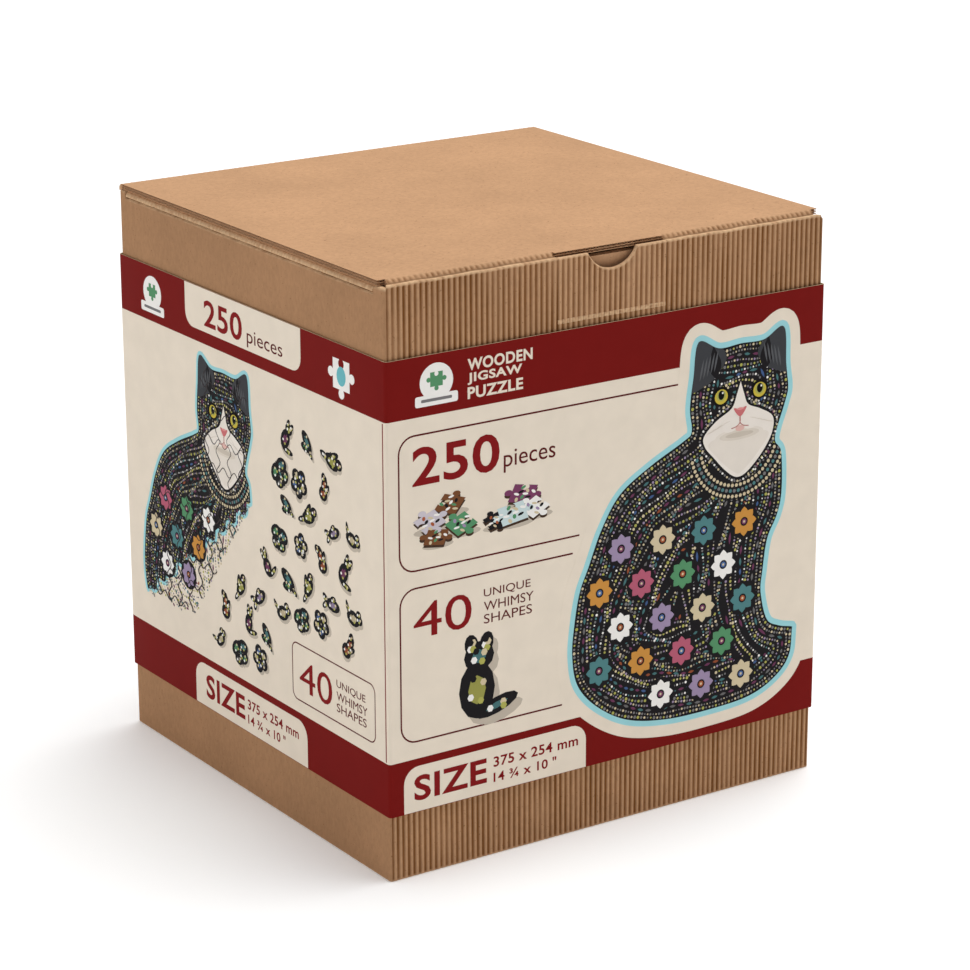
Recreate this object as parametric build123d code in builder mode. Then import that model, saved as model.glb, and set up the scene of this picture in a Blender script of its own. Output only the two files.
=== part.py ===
"""A boxed wooden jigsaw puzzle: a micro-flute tuck-top carton, its printed sleeve and 250 loose pieces.

Frame: origin at the centre of the base, +Z up, the front wall faces -Y, +X to the right. Millimetres.
"""

import math
import os
from random import Random

from build123d import *

# ---- driving dimensions -------------------------------------------------------------------------
BOX_W = 152.0  # outside, left to right
BOX_D = 150.0  # outside, front to back
BOX_H = 175.0  # floor to the top of the closed lid
BOARD = 1.6  # corrugated board thickness
RUN_GAP = 0.35  # clearance between panels that move past each other

FRONT_LIP_DROP = 1.2  # how far the front wall's top edge lies below the lid's top face
TAB_W = 37.0  # lock tab in the front wall
TAB_FOOT_DROP = 19.5  # the tab's crease, below the lid's top face
TAB_SLIT = 0.3
NOTCH_W = 17.0  # half-moon thumb notch in the tab's top edge
NOTCH_DEPTH = 5.3

TUCK_LENGTH = 25.0  # tuck flap, from the lid's front crease
TUCK_LEAN = 10.0  # degrees that the closed flap leans into the box
TUCK_SIDE_GAP = 0.8
TUCK_CORNER_R = 7.0
TUCK_SLOT_H = 1.1  # slot along the crease, behind the lock tab
TUCK_TOP_GAP = 0.1

DUST_REACH = 45.0  # dust flaps, from the side walls inward
DUST_FRONT_SETBACK = 6.0
DUST_BACK_SETBACK = 4.0
DUST_BACK_TAPER = 27.0  # how much further back the flap starts at its free edge
DUST_FRONT_TAPER = 3.0
DUST_CORNER_R = 6.0

GLUE_FLAP_W = 22.0
GLUE_FLAP_MARGIN = 9.0
BOTTOM_SEAM = 0.2
BOTTOM_SIDE_REACH = 46.0
BOTTOM_SIDE_TAPER = 14.0

SLEEVE_FOOT = 20.0  # lower edge of the sleeve above the floor
SLEEVE_H = 133.1
SLEEVE_T = 0.3
SLEEVE_SIDE_GAP = 0.25
SLEEVE_LAP_GAP = 0.5  # looser front to back, so that the glued lap lies inside it
SLEEVE_LAP_W = 16.0

PIECE_T = 3.0  # plywood
LAYER_GAP = 0.2
HEAP_MARGIN = 2.5  # between the carton's inner faces and the heap, glue flap included
INNER_PIECES = 162
BORDER_PIECES = 48
WHIMSY_COPIES = 4
CELL_MIN = 13.2
CELL_MAX = 17.4
KNOB_R = 2.5
KNOB_OFFSET = 0.75  # knob centre outside the piece's side, in knob radii
WHIMSY_REACH = 12.0  # circle that holds any whimsy
HEAP_TRIES = 300
SEED = 40

# ---- places worked out from them ----------------------------------------------------------------
HALF_W = BOX_W / 2
HALF_D = BOX_D / 2
INNER_HALF_W = HALF_W - BOARD
INNER_HALF_D = HALF_D - BOARD
LID_UNDER = BOX_H - BOARD
BACK_TOP = LID_UNDER - RUN_GAP
DUST_TOP = LID_UNDER - RUN_GAP
DUST_UNDER = DUST_TOP - BOARD
SIDE_TOP = DUST_UNDER - RUN_GAP
FRONT_TOP = BOX_H - FRONT_LIP_DROP
TAB_FOOT = BOX_H - TAB_FOOT_DROP
LID_FRONT = -INNER_HALF_D + RUN_GAP
DUST_FRONT = -HALF_D + DUST_FRONT_SETBACK
DUST_BACK = HALF_D - DUST_BACK_SETBACK
HEAP_FLOOR = 2 * BOARD + LAYER_GAP / 2

os.makedirs("parts", exist_ok=True)


def save(builder, name):
    """Labels one finished sub-part and writes its STEP."""
    builder.part.label = name
    export_step(builder.part, f"parts/{name}.step")


def mitred_panel(outer_a, outer_b, inner_b, inner_a, foot, height):
    """An upright panel whose ends are mitred, so that its neighbours meet it at the folded edge."""
    with BuildPart() as panel:
        with BuildSketch(Plane.XY.offset(foot)):
            with BuildLine():
                Polyline(outer_a, outer_b, inner_b, inner_a, close=True)
            make_face()
        extrude(amount=height)
    return panel


# ---- carton walls -------------------------------------------------------------------------------
with BuildPart() as front_wall:
    with BuildSketch(Plane.XY):
        with BuildLine():
            Polyline(
                (-HALF_W, -HALF_D),
                (HALF_W, -HALF_D),
                (INNER_HALF_W, -INNER_HALF_D),
                (-INNER_HALF_W, -INNER_HALF_D),
                close=True,
            )
        make_face()
    extrude(amount=FRONT_TOP)
    with BuildSketch(Plane.XY.offset(TAB_FOOT - TAB_SLIT)):
        with Locations((0, -HALF_D)):
            Rectangle(TAB_W + 2 * TAB_SLIT, 4 * BOARD)
    extrude(amount=TAB_FOOT_DROP, mode=Mode.SUBTRACT)
save(front_wall, "front_wall")

back_wall = mitred_panel(
    (HALF_W, HALF_D),
    (-HALF_W, HALF_D),
    (-INNER_HALF_W, INNER_HALF_D),
    (INNER_HALF_W, INNER_HALF_D),
    0,
    BACK_TOP,
)
save(back_wall, "back_wall")

for side, name in ((-1, "left_wall"), (1, "right_wall")):
    with BuildPart() as side_wall:
        with BuildSketch(Plane.XY):
            with BuildLine():
                Polyline(
                    (side * HALF_W, -HALF_D),
                    (side * HALF_W, HALF_D),
                    (side * INNER_HALF_W, INNER_HALF_D),
                    (side * INNER_HALF_W, -INNER_HALF_D),
                    close=True,
                )
            make_face()
        extrude(amount=DUST_TOP)
        # the wall is lower along the crease of its dust flap
        with BuildSketch(Plane.XY.offset(SIDE_TOP)):
            with Locations((side * HALF_W, (DUST_FRONT + DUST_BACK) / 2)):
                Rectangle(4 * BOARD, DUST_BACK - DUST_FRONT + 2 * RUN_GAP)
        extrude(amount=BOX_H - SIDE_TOP, mode=Mode.SUBTRACT)
    save(side_wall, name)

with BuildPart() as glue_flap:
    with BuildSketch(Plane.YZ.offset(INNER_HALF_W - BOARD)):
        with BuildLine():
            Polyline(
                (INNER_HALF_D, GLUE_FLAP_MARGIN),
                (INNER_HALF_D, SIDE_TOP - GLUE_FLAP_MARGIN),
                (INNER_HALF_D - GLUE_FLAP_W, SIDE_TOP - 2 * GLUE_FLAP_MARGIN),
                (INNER_HALF_D - GLUE_FLAP_W, 2 * GLUE_FLAP_MARGIN),
                close=True,
            )
        make_face()
    extrude(amount=BOARD)
save(glue_flap, "glue_flap")

# ---- glued bottom -------------------------------------------------------------------------------
OUTER_BOTTOM_D = INNER_HALF_D - BOTTOM_SEAM / 2
for side, name in ((-1, "bottom_front_flap"), (1, "bottom_back_flap")):
    with BuildPart() as outer_bottom_flap:
        with BuildSketch(Plane.XY):
            with Locations((0, side * (INNER_HALF_D - OUTER_BOTTOM_D / 2))):
                Rectangle(2 * INNER_HALF_W, OUTER_BOTTOM_D)
        extrude(amount=BOARD)
    save(outer_bottom_flap, name)

for side, name in ((-1, "bottom_left_flap"), (1, "bottom_right_flap")):
    with BuildPart() as inner_bottom_flap:
        with BuildSketch(Plane.XY.offset(BOARD)):
            with BuildLine():
                Polyline(
                    (side * INNER_HALF_W, -INNER_HALF_D),
                    (side * INNER_HALF_W, INNER_HALF_D),
                    (side * (INNER_HALF_W - BOTTOM_SIDE_REACH), INNER_HALF_D - BOTTOM_SIDE_TAPER),
                    (side * (INNER_HALF_W - BOTTOM_SIDE_REACH), -INNER_HALF_D + BOTTOM_SIDE_TAPER),
                    close=True,
                )
            make_face()
        extrude(amount=BOARD)
    save(inner_bottom_flap, name)

# ---- closure: lid, tuck flap, dust flaps, lock tab ----------------------------------------------
with BuildPart() as lid_panel:
    with BuildSketch(Plane.XY.offset(LID_UNDER)):
        with Locations((0, (LID_FRONT + HALF_D) / 2)):
            Rectangle(BOX_W, HALF_D - LID_FRONT)
    extrude(amount=BOARD)
save(lid_panel, "lid_panel")

# The flap hangs from the lid's front crease. Its section is a leaning strip whose top is cut level.
LEAN = math.radians(TUCK_LEAN)
TUCK_HALF_W = INNER_HALF_W - TUCK_SIDE_GAP
TUCK_START = (BOARD + TUCK_TOP_GAP) / math.cos(LEAN)
TUCK_START_INSIDE = (BOARD + TUCK_TOP_GAP + BOARD * math.sin(LEAN)) / math.cos(LEAN)


def on_tuck_flap(along, depth):
    """(y, z) of a point on the closed tuck flap, along it from the crease and through its thickness."""
    return (
        LID_FRONT + along * math.sin(LEAN) + depth * math.cos(LEAN),
        BOX_H - along * math.cos(LEAN) + depth * math.sin(LEAN),
    )


with BuildPart() as tuck_flap:
    with BuildSketch(Plane.YZ):
        with BuildLine():
            Polyline(
                on_tuck_flap(TUCK_START, 0),
                on_tuck_flap(TUCK_LENGTH, 0),
                on_tuck_flap(TUCK_LENGTH, BOARD),
                on_tuck_flap(TUCK_START_INSIDE, BOARD),
                close=True,
            )
        make_face()
    extrude(amount=TUCK_HALF_W, both=True)
    free_corners = tuck_flap.edges().filter_by(lambda e: abs(e.center().X) > TUCK_HALF_W - 0.01)
    fillet(free_corners.group_by(Axis.Z)[0], radius=TUCK_CORNER_R)
    with BuildSketch(Plane.XY.offset(LID_UNDER - TUCK_TOP_GAP - TUCK_SLOT_H)):
        with Locations((0, LID_FRONT)):
            Rectangle(TAB_W, 8 * BOARD)
    extrude(amount=BOARD + TUCK_SLOT_H, mode=Mode.SUBTRACT)
save(tuck_flap, "tuck_flap")

for side, name in ((-1, "dust_flap_left"), (1, "dust_flap_right")):
    with BuildPart() as dust_flap:
        with BuildSketch(Plane.XY.offset(DUST_UNDER)):
            with BuildLine():
                Polyline(
                    (side * HALF_W, DUST_FRONT),
                    (side * HALF_W, DUST_BACK),
                    (side * (HALF_W - DUST_REACH), DUST_BACK - DUST_BACK_TAPER),
                    (side * (HALF_W - DUST_REACH), DUST_FRONT + DUST_FRONT_TAPER),
                    close=True,
                )
            make_face()
        extrude(amount=BOARD)
        upright_edges = dust_flap.edges().filter_by(Axis.Z)
        fillet(upright_edges.sort_by(lambda e: abs(e.center().X))[0:2], radius=DUST_CORNER_R)
    save(dust_flap, name)

NOTCH_R = (NOTCH_W**2 / 4 + NOTCH_DEPTH**2) / (2 * NOTCH_DEPTH)
with BuildPart() as front_lock_tab:
    with BuildSketch(Plane.XZ.offset(INNER_HALF_D)):
        with Locations((0, (TAB_FOOT + FRONT_TOP) / 2)):
            Rectangle(TAB_W, FRONT_TOP - TAB_FOOT)
        with Locations((0, FRONT_TOP - NOTCH_DEPTH + NOTCH_R)):
            Circle(NOTCH_R, mode=Mode.SUBTRACT)
    extrude(amount=BOARD)
save(front_lock_tab, "front_lock_tab")

# ---- printed sleeve -----------------------------------------------------------------------------
SLEEVE_IN_W = HALF_W + SLEEVE_SIDE_GAP
SLEEVE_IN_D = HALF_D + SLEEVE_LAP_GAP
SLEEVE_OUT_W = SLEEVE_IN_W + SLEEVE_T
SLEEVE_OUT_D = SLEEVE_IN_D + SLEEVE_T

for side, name in ((-1, "sleeve_front"), (1, "sleeve_back")):
    sleeve_panel = mitred_panel(
        (-SLEEVE_OUT_W, side * SLEEVE_OUT_D),
        (SLEEVE_OUT_W, side * SLEEVE_OUT_D),
        (SLEEVE_IN_W, side * SLEEVE_IN_D),
        (-SLEEVE_IN_W, side * SLEEVE_IN_D),
        SLEEVE_FOOT,
        SLEEVE_H,
    )
    save(sleeve_panel, name)

for side, name in ((-1, "sleeve_left"), (1, "sleeve_right")):
    sleeve_panel = mitred_panel(
        (side * SLEEVE_OUT_W, -SLEEVE_OUT_D),
        (side * SLEEVE_OUT_W, SLEEVE_OUT_D),
        (side * SLEEVE_IN_W, SLEEVE_IN_D),
        (side * SLEEVE_IN_W, -SLEEVE_IN_D),
        SLEEVE_FOOT,
        SLEEVE_H,
    )
    save(sleeve_panel, name)

with BuildPart() as sleeve_lap:
    with BuildSketch(Plane.XY.offset(SLEEVE_FOOT)):
        with Locations((SLEEVE_IN_W - SLEEVE_LAP_W / 2, SLEEVE_IN_D - SLEEVE_T / 2)):
            Rectangle(SLEEVE_LAP_W, SLEEVE_T)
    extrude(amount=SLEEVE_H)
save(sleeve_lap, "sleeve_lap")


# ---- outlines of the wooden pieces --------------------------------------------------------------
def draw_plain_piece(width, depth, sides):
    """A jigsaw piece: sides holds +1 for a knob, -1 for a socket and 0 for a plain border side."""
    Rectangle(width, depth)
    reach = (width / 2, depth / 2, width / 2, depth / 2)
    for quarter in range(4):
        if sides[quarter] == 0:
            continue
        away = reach[quarter] + sides[quarter] * KNOB_OFFSET * KNOB_R
        angle = math.pi / 2 * quarter
        with Locations((away * math.cos(angle), away * math.sin(angle))):
            Circle(KNOB_R, mode=Mode.ADD if sides[quarter] > 0 else Mode.SUBTRACT)


def draw_cat():
    """A sitting cat seen from the front, with its tail to one side."""
    with Locations((0, -4.2)):
        Ellipse(5.4, 7.0)
    with Locations((0, 5.4)):
        Circle(4.0)
    for side in (-1, 1):
        Polygon((side * 0.8, 7.5), (side * 3.9, 6.0), (side * 3.4, 11.0), align=None)
    with Locations((6.2, -7.0)):
        Ellipse(4.4, 1.5, rotation=35)


def draw_bird():
    """A perched bird with a long tail."""
    Ellipse(6.2, 4.0, rotation=25)
    with Locations((5.2, 4.8)):
        Circle(2.9)
    Polygon((7.2, 6.2), (7.2, 3.6), (10.8, 4.6), align=None)
    Polygon((-3.0, 0.5), (-2.0, -3.5), (-11.0, -5.6), (-11.2, -3.0), align=None)


def draw_fish():
    """A fish with a forked tail."""
    with Locations((1.5, 0)):
        Ellipse(8.4, 4.6)
    Polygon((-5.0, 0), (-10.6, 4.8), (-8.8, 0), (-10.6, -4.8), align=None)


def draw_butterfly():
    """Two pairs of wings on a slender body."""
    Ellipse(1.3, 7.6)
    for side in (-1, 1):
        with Locations((side * 5.0, 3.6)):
            Ellipse(4.9, 4.3, rotation=side * 30)
        with Locations((side * 4.0, -4.0)):
            Ellipse(3.8, 3.4)


def draw_leaf():
    """A pointed leaf on a short stalk."""
    with Locations((-5.0, 0)):
        Circle(11.0)
    with Locations((5.0, 0)):
        Circle(11.0, mode=Mode.INTERSECT)
    with Locations((0, -10.0)):
        Rectangle(1.6, 3.6)


def draw_heart():
    """A heart."""
    for side in (-1, 1):
        with Locations((side * 4.0, 2.6)):
            Circle(4.6)
    Polygon((-8.1, 0.6), (8.1, 0.6), (0, -9.6), align=None)


def draw_star():
    """A five-pointed star."""
    points = []
    for tip in range(10):
        radius = 11.0 if tip % 2 == 0 else 5.2
        angle = math.radians(90 + 36 * tip)
        points.append((radius * math.cos(angle), radius * math.sin(angle)))
    Polygon(*points, align=None)


def draw_moon():
    """A crescent moon."""
    Circle(10.0)
    with Locations((5.4, 0)):
        Circle(8.0, mode=Mode.SUBTRACT)


def draw_flower():
    """Six round petals."""
    Circle(4.6)
    with PolarLocations(6.4, 6):
        Circle(3.7)


def draw_mouse():
    """A mouse with round ears and a short tail."""
    Ellipse(7.2, 4.4)
    with Locations((5.0, 4.4)):
        Circle(2.6)
    Polygon((5.0, 3.4), (5.0, -3.2), (10.8, -1.2), align=None)
    with Locations((-8.4, -2.2)):
        Ellipse(3.2, 0.9, rotation=20)


WHIMSIES = {
    "whimsy_cats": draw_cat,
    "whimsy_birds": draw_bird,
    "whimsy_fish": draw_fish,
    "whimsy_butterflies": draw_butterfly,
    "whimsy_leaves": draw_leaf,
    "whimsy_hearts": draw_heart,
    "whimsy_stars": draw_star,
    "whimsy_moons": draw_moon,
    "whimsy_flowers": draw_flower,
    "whimsy_mice": draw_mouse,
}
INNER_NODES = ("pieces_no_knob", "pieces_one_knob", "pieces_two_knobs", "pieces_three_knobs", "pieces_four_knobs")

# ---- the heap: each piece lies flat on the lowest place found for it -----------------------------
rng = Random(SEED)
deck = []
for count in range(INNER_PIECES + BORDER_PIECES):
    width = rng.uniform(CELL_MIN, CELL_MAX)
    depth = rng.uniform(CELL_MIN, CELL_MAX)
    sides = [rng.choice((-1, 1)) for quarter in range(4)]
    node = INNER_NODES[sides.count(1)]
    if count >= INNER_PIECES:
        sides[0] = 0
        node = "border_pieces"
    knob_reach = max(width, depth) / 2 + (1 + KNOB_OFFSET) * KNOB_R
    deck.append((node, (width, depth, sides), max(knob_reach, math.hypot(width, depth) / 2)))
for node in WHIMSIES:
    deck += [(node, None, WHIMSY_REACH)] * WHIMSY_COPIES
rng.shuffle(deck)


def settle(reach, placed):
    """The lowest of several places where a piece of that reach can lie: x, y and how many layers are below."""
    found = None
    for attempt in range(HEAP_TRIES):
        room_x = INNER_HALF_W - HEAP_MARGIN - reach
        room_y = INNER_HALF_D - HEAP_MARGIN - reach
        x = rng.uniform(-room_x, room_x)
        y = rng.uniform(-room_y, room_y)
        below = [p[2] + 1 for p in placed if math.hypot(p[0] - x, p[1] - y) < p[3] + reach]
        layer = max(below, default=0)
        if found is None or layer < found[2]:
            found = (x, y, layer)
    return found


placed = []
planes = {}
for node, shape, reach in deck:
    x, y, layer = settle(reach, placed)
    placed.append((x, y, layer, reach))
    yaw = rng.uniform(0, 2 * math.pi)
    height = HEAP_FLOOR + layer * (PIECE_T + LAYER_GAP)
    plane = Plane(origin=(x, y, height), x_dir=(math.cos(yaw), math.sin(yaw), 0), z_dir=(0, 0, 1))
    planes.setdefault(node, []).append((plane, shape))

for node, lying in planes.items():
    with BuildPart() as pieces:
        for plane, shape in lying:
            with BuildSketch(plane):
                if node in WHIMSIES:
                    WHIMSIES[node]()
                else:
                    draw_plain_piece(*shape)
        extrude(amount=PIECE_T)
    save(pieces, node)

heap_top = HEAP_FLOOR + max(p[2] for p in placed) * (PIECE_T + LAYER_GAP) + PIECE_T
print(f"heap of {len(placed)} pieces, {heap_top:.1f} mm above the floor")
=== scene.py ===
"""Looks of a boxed wooden jigsaw puzzle: a kraft carton of flute board, its printed sleeve and its pieces.

Lengths are in metres, in the CAD's frame. What is printed is drawn in millimetres of one face,
with x from its left and y up from the floor.
"""

import math
import random

import bmesh
import bpy
import numpy as np
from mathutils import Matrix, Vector, noise


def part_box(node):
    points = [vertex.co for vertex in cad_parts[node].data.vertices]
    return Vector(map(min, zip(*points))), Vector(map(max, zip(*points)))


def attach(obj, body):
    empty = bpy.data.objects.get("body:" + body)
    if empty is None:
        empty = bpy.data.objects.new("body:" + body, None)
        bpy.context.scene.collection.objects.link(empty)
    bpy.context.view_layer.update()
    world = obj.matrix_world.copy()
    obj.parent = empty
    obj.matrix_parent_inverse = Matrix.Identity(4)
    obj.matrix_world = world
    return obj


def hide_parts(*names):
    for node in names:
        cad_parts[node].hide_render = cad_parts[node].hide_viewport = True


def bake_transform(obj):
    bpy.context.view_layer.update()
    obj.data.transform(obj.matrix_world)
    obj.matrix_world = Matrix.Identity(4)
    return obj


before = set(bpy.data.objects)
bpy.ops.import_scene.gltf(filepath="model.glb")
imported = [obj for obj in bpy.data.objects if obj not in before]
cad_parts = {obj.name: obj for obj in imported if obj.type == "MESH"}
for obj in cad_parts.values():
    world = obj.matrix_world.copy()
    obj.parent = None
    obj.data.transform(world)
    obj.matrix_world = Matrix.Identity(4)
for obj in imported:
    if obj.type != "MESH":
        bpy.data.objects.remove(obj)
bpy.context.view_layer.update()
MM = 0.001

# ---------------------------------------------------------------- sizes, read from the frame
BOX_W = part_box("right_wall")[1].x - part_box("left_wall")[0].x
BOX_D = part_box("back_wall")[1].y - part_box("front_wall")[0].y
BOX_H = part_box("lid_panel")[1].z
BOARD = BOX_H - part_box("lid_panel")[0].z
HALF_W = BOX_W / 2
HALF_D = BOX_D / 2
FRONT_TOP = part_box("front_wall")[1].z
LID_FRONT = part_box("lid_panel")[0].y
LID_HALF_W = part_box("lid_panel")[1].x
TAB_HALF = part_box("front_lock_tab")[1].x
TAB_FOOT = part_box("front_lock_tab")[0].z
TUCK_HALF_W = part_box("tuck_flap")[1].x
DUST_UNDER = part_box("dust_flap_left")[0].z
DUST_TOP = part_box("dust_flap_left")[1].z
DUST_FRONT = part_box("dust_flap_left")[0].y
DUST_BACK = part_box("dust_flap_left")[1].y
DUST_END = -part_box("dust_flap_left")[1].x
RUN_GAP = BOX_H - BOARD - DUST_TOP
SIDE_TOP = DUST_UNDER - RUN_GAP
SLEEVE_HALF_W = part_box("sleeve_right")[1].x
SLEEVE_HALF_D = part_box("sleeve_back")[1].y
SLEEVE_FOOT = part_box("sleeve_front")[0].z
SLEEVE_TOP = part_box("sleeve_front")[1].z
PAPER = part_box("sleeve_lap")[1].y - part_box("sleeve_lap")[0].y

FLUTE = BOX_W / 84
FLUTE_DEPTH = 0.42 * MM
SAMPLES = 8  # columns of mesh in one flute
FOLD_R = BOARD
BACK_FOLD_START = -20  # degrees below level, so that the lid's crease begins inside the back wall
TAB_SLIT = 0.3 * MM
NOTCH_HALF_W = 8.5 * MM
NOTCH_DEPTH = 5.3 * MM
TUCK_LEAN = math.radians(10)
TUCK_LENGTH = 25 * MM
TUCK_SLOT_END = 2.9 * MM
TUCK_CORNER_R = 7 * MM
DUST_BACK_TAPER = 27 * MM
DUST_FRONT_TAPER = 3 * MM
DUST_CORNER_R = 6 * MM
LOWER_RED = 36.2 * MM  # top of the sleeve's lower red band
UPPER_RED = 136.0 * MM  # foot of its upper red band


# ---------------------------------------------------------------- colours
def linear(red, green, blue):
    """An sRGB colour, 0 to 255, as the linear values that a shader takes."""
    values = []
    for part in (red / 255, green / 255, blue / 255):
        values.append(part / 12.92 if part <= 0.04045 else ((part + 0.055) / 1.055) ** 2.4)
    return (*values, 1.0)


def tinted(colour, towards, share):
    """A colour moved a share of the way towards another."""
    return tuple(a + (b - a) * share for a, b in zip(colour, towards))


LINER = linear(199, 156, 119)
# painted shade: the dark kraft that is mixed into flute valleys, fold dimples and whole walls to stand for
# the shade there
LINER_PAINTED_SHADE = linear(118, 74, 36)
LINER_WORN = linear(226, 192, 152)
RED = linear(121, 22, 19)
CREAM = linear(238, 225, 207)
DARK_RED = linear(134, 26, 28)
LINE_RED = linear(96, 34, 34)
CYAN = linear(160, 216, 222)
NIGHT = linear(33, 31, 33)
WHITE = linear(246, 243, 238)
PINK = linear(184, 96, 118)
YELLOW = linear(206, 184, 70)
OLIVE = linear(178, 176, 92)
TEAL = linear(84, 132, 134)
GREEN = linear(90, 148, 106)
LILAC = linear(160, 142, 172)
PLUM = linear(124, 66, 100)
RUST = linear(170, 92, 60)
ORANGE = linear(206, 146, 70)
BLUE = linear(80, 110, 162)
SAND = linear(214, 198, 164)
GREY = linear(124, 122, 122)
SHADOW = linear(196, 184, 168)


# ---------------------------------------------------------------- meshes
def add_object(name, mesh, material, body, replaces=(), sharp_angle=40):
    """A finished mesh as an object with one material, riding on a body."""
    obj = bpy.data.objects.new(name, mesh)
    bpy.context.scene.collection.objects.link(obj)
    obj.data.materials.append(material)
    mesh.shade_smooth()
    mesh.set_sharp_from_angle(angle=math.radians(sharp_angle))
    if body:
        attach(obj, body)
    if replaces:
        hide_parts(*replaces)
    return obj


def solid_mesh(name, points, faces, shade_and_wear=None):
    """A closed mesh with outward faces. shade_and_wear gives each point its (painted shade, worn) shares."""
    mesh = bpy.data.meshes.new(name)
    mesh.from_pydata([tuple(p) for p in points], [], faces)
    if shade_and_wear is not None:
        attribute = mesh.attributes.new("painted_shade_and_wear", "FLOAT_COLOR", "POINT")
        full = np.zeros((len(points), 4), np.float32)
        full[:, :2] = np.asarray(shade_and_wear).reshape(-1, 2)
        attribute.data.foreach_set("color", full.ravel())
    work = bmesh.new()
    work.from_mesh(mesh)
    bmesh.ops.remove_doubles(work, verts=work.verts, dist=2e-6)
    bmesh.ops.recalc_face_normals(work, faces=work.faces)
    work.to_mesh(mesh)
    work.free()
    return mesh


def sweep(columns, looped=False):
    """Points and faces of a solid: columns[c][r], where each column's rows go round a closed outline."""
    columns = np.asarray(columns, float)
    count, rows = columns.shape[:2]
    faces = []
    for c in range(count if looped else count - 1):
        here = c * rows
        there = (c + 1) % count * rows
        for r in range(rows):
            s = (r + 1) % rows
            faces.append((here + r, there + r, there + s, here + s))
    if not looped:
        faces.append(tuple(range(rows)))
        faces.append(tuple(range((count - 1) * rows, count * rows)))
    return columns.reshape(-1, 3), faces


def joined(parts):
    """Several (points, faces) as one."""
    points = []
    faces = []
    for some_points, some_faces in parts:
        first = len(points)
        points.extend(tuple(p) for p in some_points)
        faces.extend(tuple(first + i for i in face) for face in some_faces)
    return points, faces


# ---------------------------------------------------------------- materials
def node_material(name, roughness, specular):
    material = bpy.data.materials.new(name)
    material.use_nodes = True
    shader = material.node_tree.nodes["Principled BSDF"]
    shader.inputs["Roughness"].default_value = roughness
    shader.inputs["Specular IOR Level"].default_value = specular
    return material, material.node_tree, shader


def noise_node(tree, scale, detail=3.0, stretch=(1, 1, 1)):
    """Noise in object coordinates, scale in features per metre."""
    place = tree.nodes.new("ShaderNodeTexCoord")
    mapping = tree.nodes.new("ShaderNodeMapping")
    mapping.inputs["Scale"].default_value = stretch
    texture = tree.nodes.new("ShaderNodeTexNoise")
    texture.inputs["Scale"].default_value = scale
    texture.inputs["Detail"].default_value = detail
    tree.links.new(place.outputs["Object"], mapping.inputs["Vector"])
    tree.links.new(mapping.outputs["Vector"], texture.inputs["Vector"])
    return texture.outputs["Fac"]


def ramp_node(tree, value, *stops):
    """A colour ramp over a value, with (position, colour) stops."""
    ramp = tree.nodes.new("ShaderNodeValToRGB")
    elements = ramp.color_ramp.elements
    while len(elements) < len(stops):
        elements.new(0.5)
    for element, (position, colour) in zip(elements, stops):
        element.position = position
        element.color = colour
    tree.links.new(value, ramp.inputs["Fac"])
    return ramp.outputs["Color"]


def mix_node(tree, kind, factor, first, second):
    """A colour mix; factor, first and second are sockets or plain values."""
    mix = tree.nodes.new("ShaderNodeMix")
    mix.data_type = "RGBA"
    mix.blend_type = kind
    for socket, value in ((mix.inputs[0], factor), (mix.inputs[6], first), (mix.inputs[7], second)):
        if isinstance(value, bpy.types.NodeSocket):
            tree.links.new(value, socket)
        else:
            socket.default_value = value
    return mix.outputs[2]


def grey(value):
    return (value, value, value, 1.0)


def kraft_material():
    """Unbleached liner: fibres, clouds and specks. The attribute painted_shade_and_wear carries painted shade
    in its red share, for flute valleys, fold dimples and whole walls, and worn edges in its green share.
    """
    material, tree, shader = node_material("kraft_liner", 0.92, 0.06)
    fibres = noise_node(tree, 900, 6, (1, 1, 0.6))
    clouds = noise_node(tree, 38, 4)
    specks = noise_node(tree, 1500, 2)
    shares = tree.nodes.new("ShaderNodeAttribute")
    shares.attribute_name = "painted_shade_and_wear"
    split = tree.nodes.new("ShaderNodeSeparateColor")
    tree.links.new(shares.outputs["Color"], split.inputs["Color"])
    # painted shade: the red share darkens the liner towards the painted shade colour
    colour = mix_node(tree, "MIX", split.outputs["Red"], LINER, LINER_PAINTED_SHADE)
    colour = mix_node(tree, "MIX", split.outputs["Green"], colour, LINER_WORN)
    fibre_tint = ramp_node(tree, fibres, (0.3, grey(0.92)), (0.7, grey(1.06)))
    colour = mix_node(tree, "MULTIPLY", 1.0, colour, fibre_tint)
    cloud_tint = ramp_node(tree, clouds, (0.3, grey(0.93)), (0.7, grey(1.04)))
    colour = mix_node(tree, "MULTIPLY", 1.0, colour, cloud_tint)
    speck_tint = ramp_node(tree, specks, (0.26, (0.5, 0.42, 0.34, 1)), (0.33, grey(1.0)))
    colour = mix_node(tree, "MULTIPLY", 0.8, colour, speck_tint)
    tree.links.new(colour, shader.inputs["Base Color"])
    bump = tree.nodes.new("ShaderNodeBump")
    bump.inputs["Strength"].default_value = 0.35
    bump.inputs["Distance"].default_value = 0.00012
    tree.links.new(fibres, bump.inputs["Height"])
    tree.links.new(bump.outputs["Normal"], shader.inputs["Normal"])
    return material


def ink_material():
    """Ink on smooth paper; each face's colour is the attribute ink."""
    material, tree, shader = node_material("printed_paper", 0.7, 0.05)
    ink = tree.nodes.new("ShaderNodeAttribute")
    ink.attribute_name = "ink"
    paper_tint = ramp_node(tree, noise_node(tree, 160, 4), (0.3, grey(0.965)), (0.7, grey(1.015)))
    colour = mix_node(tree, "MULTIPLY", 1.0, ink.outputs["Color"], paper_tint)
    tree.links.new(colour, shader.inputs["Base Color"])
    return material


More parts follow.
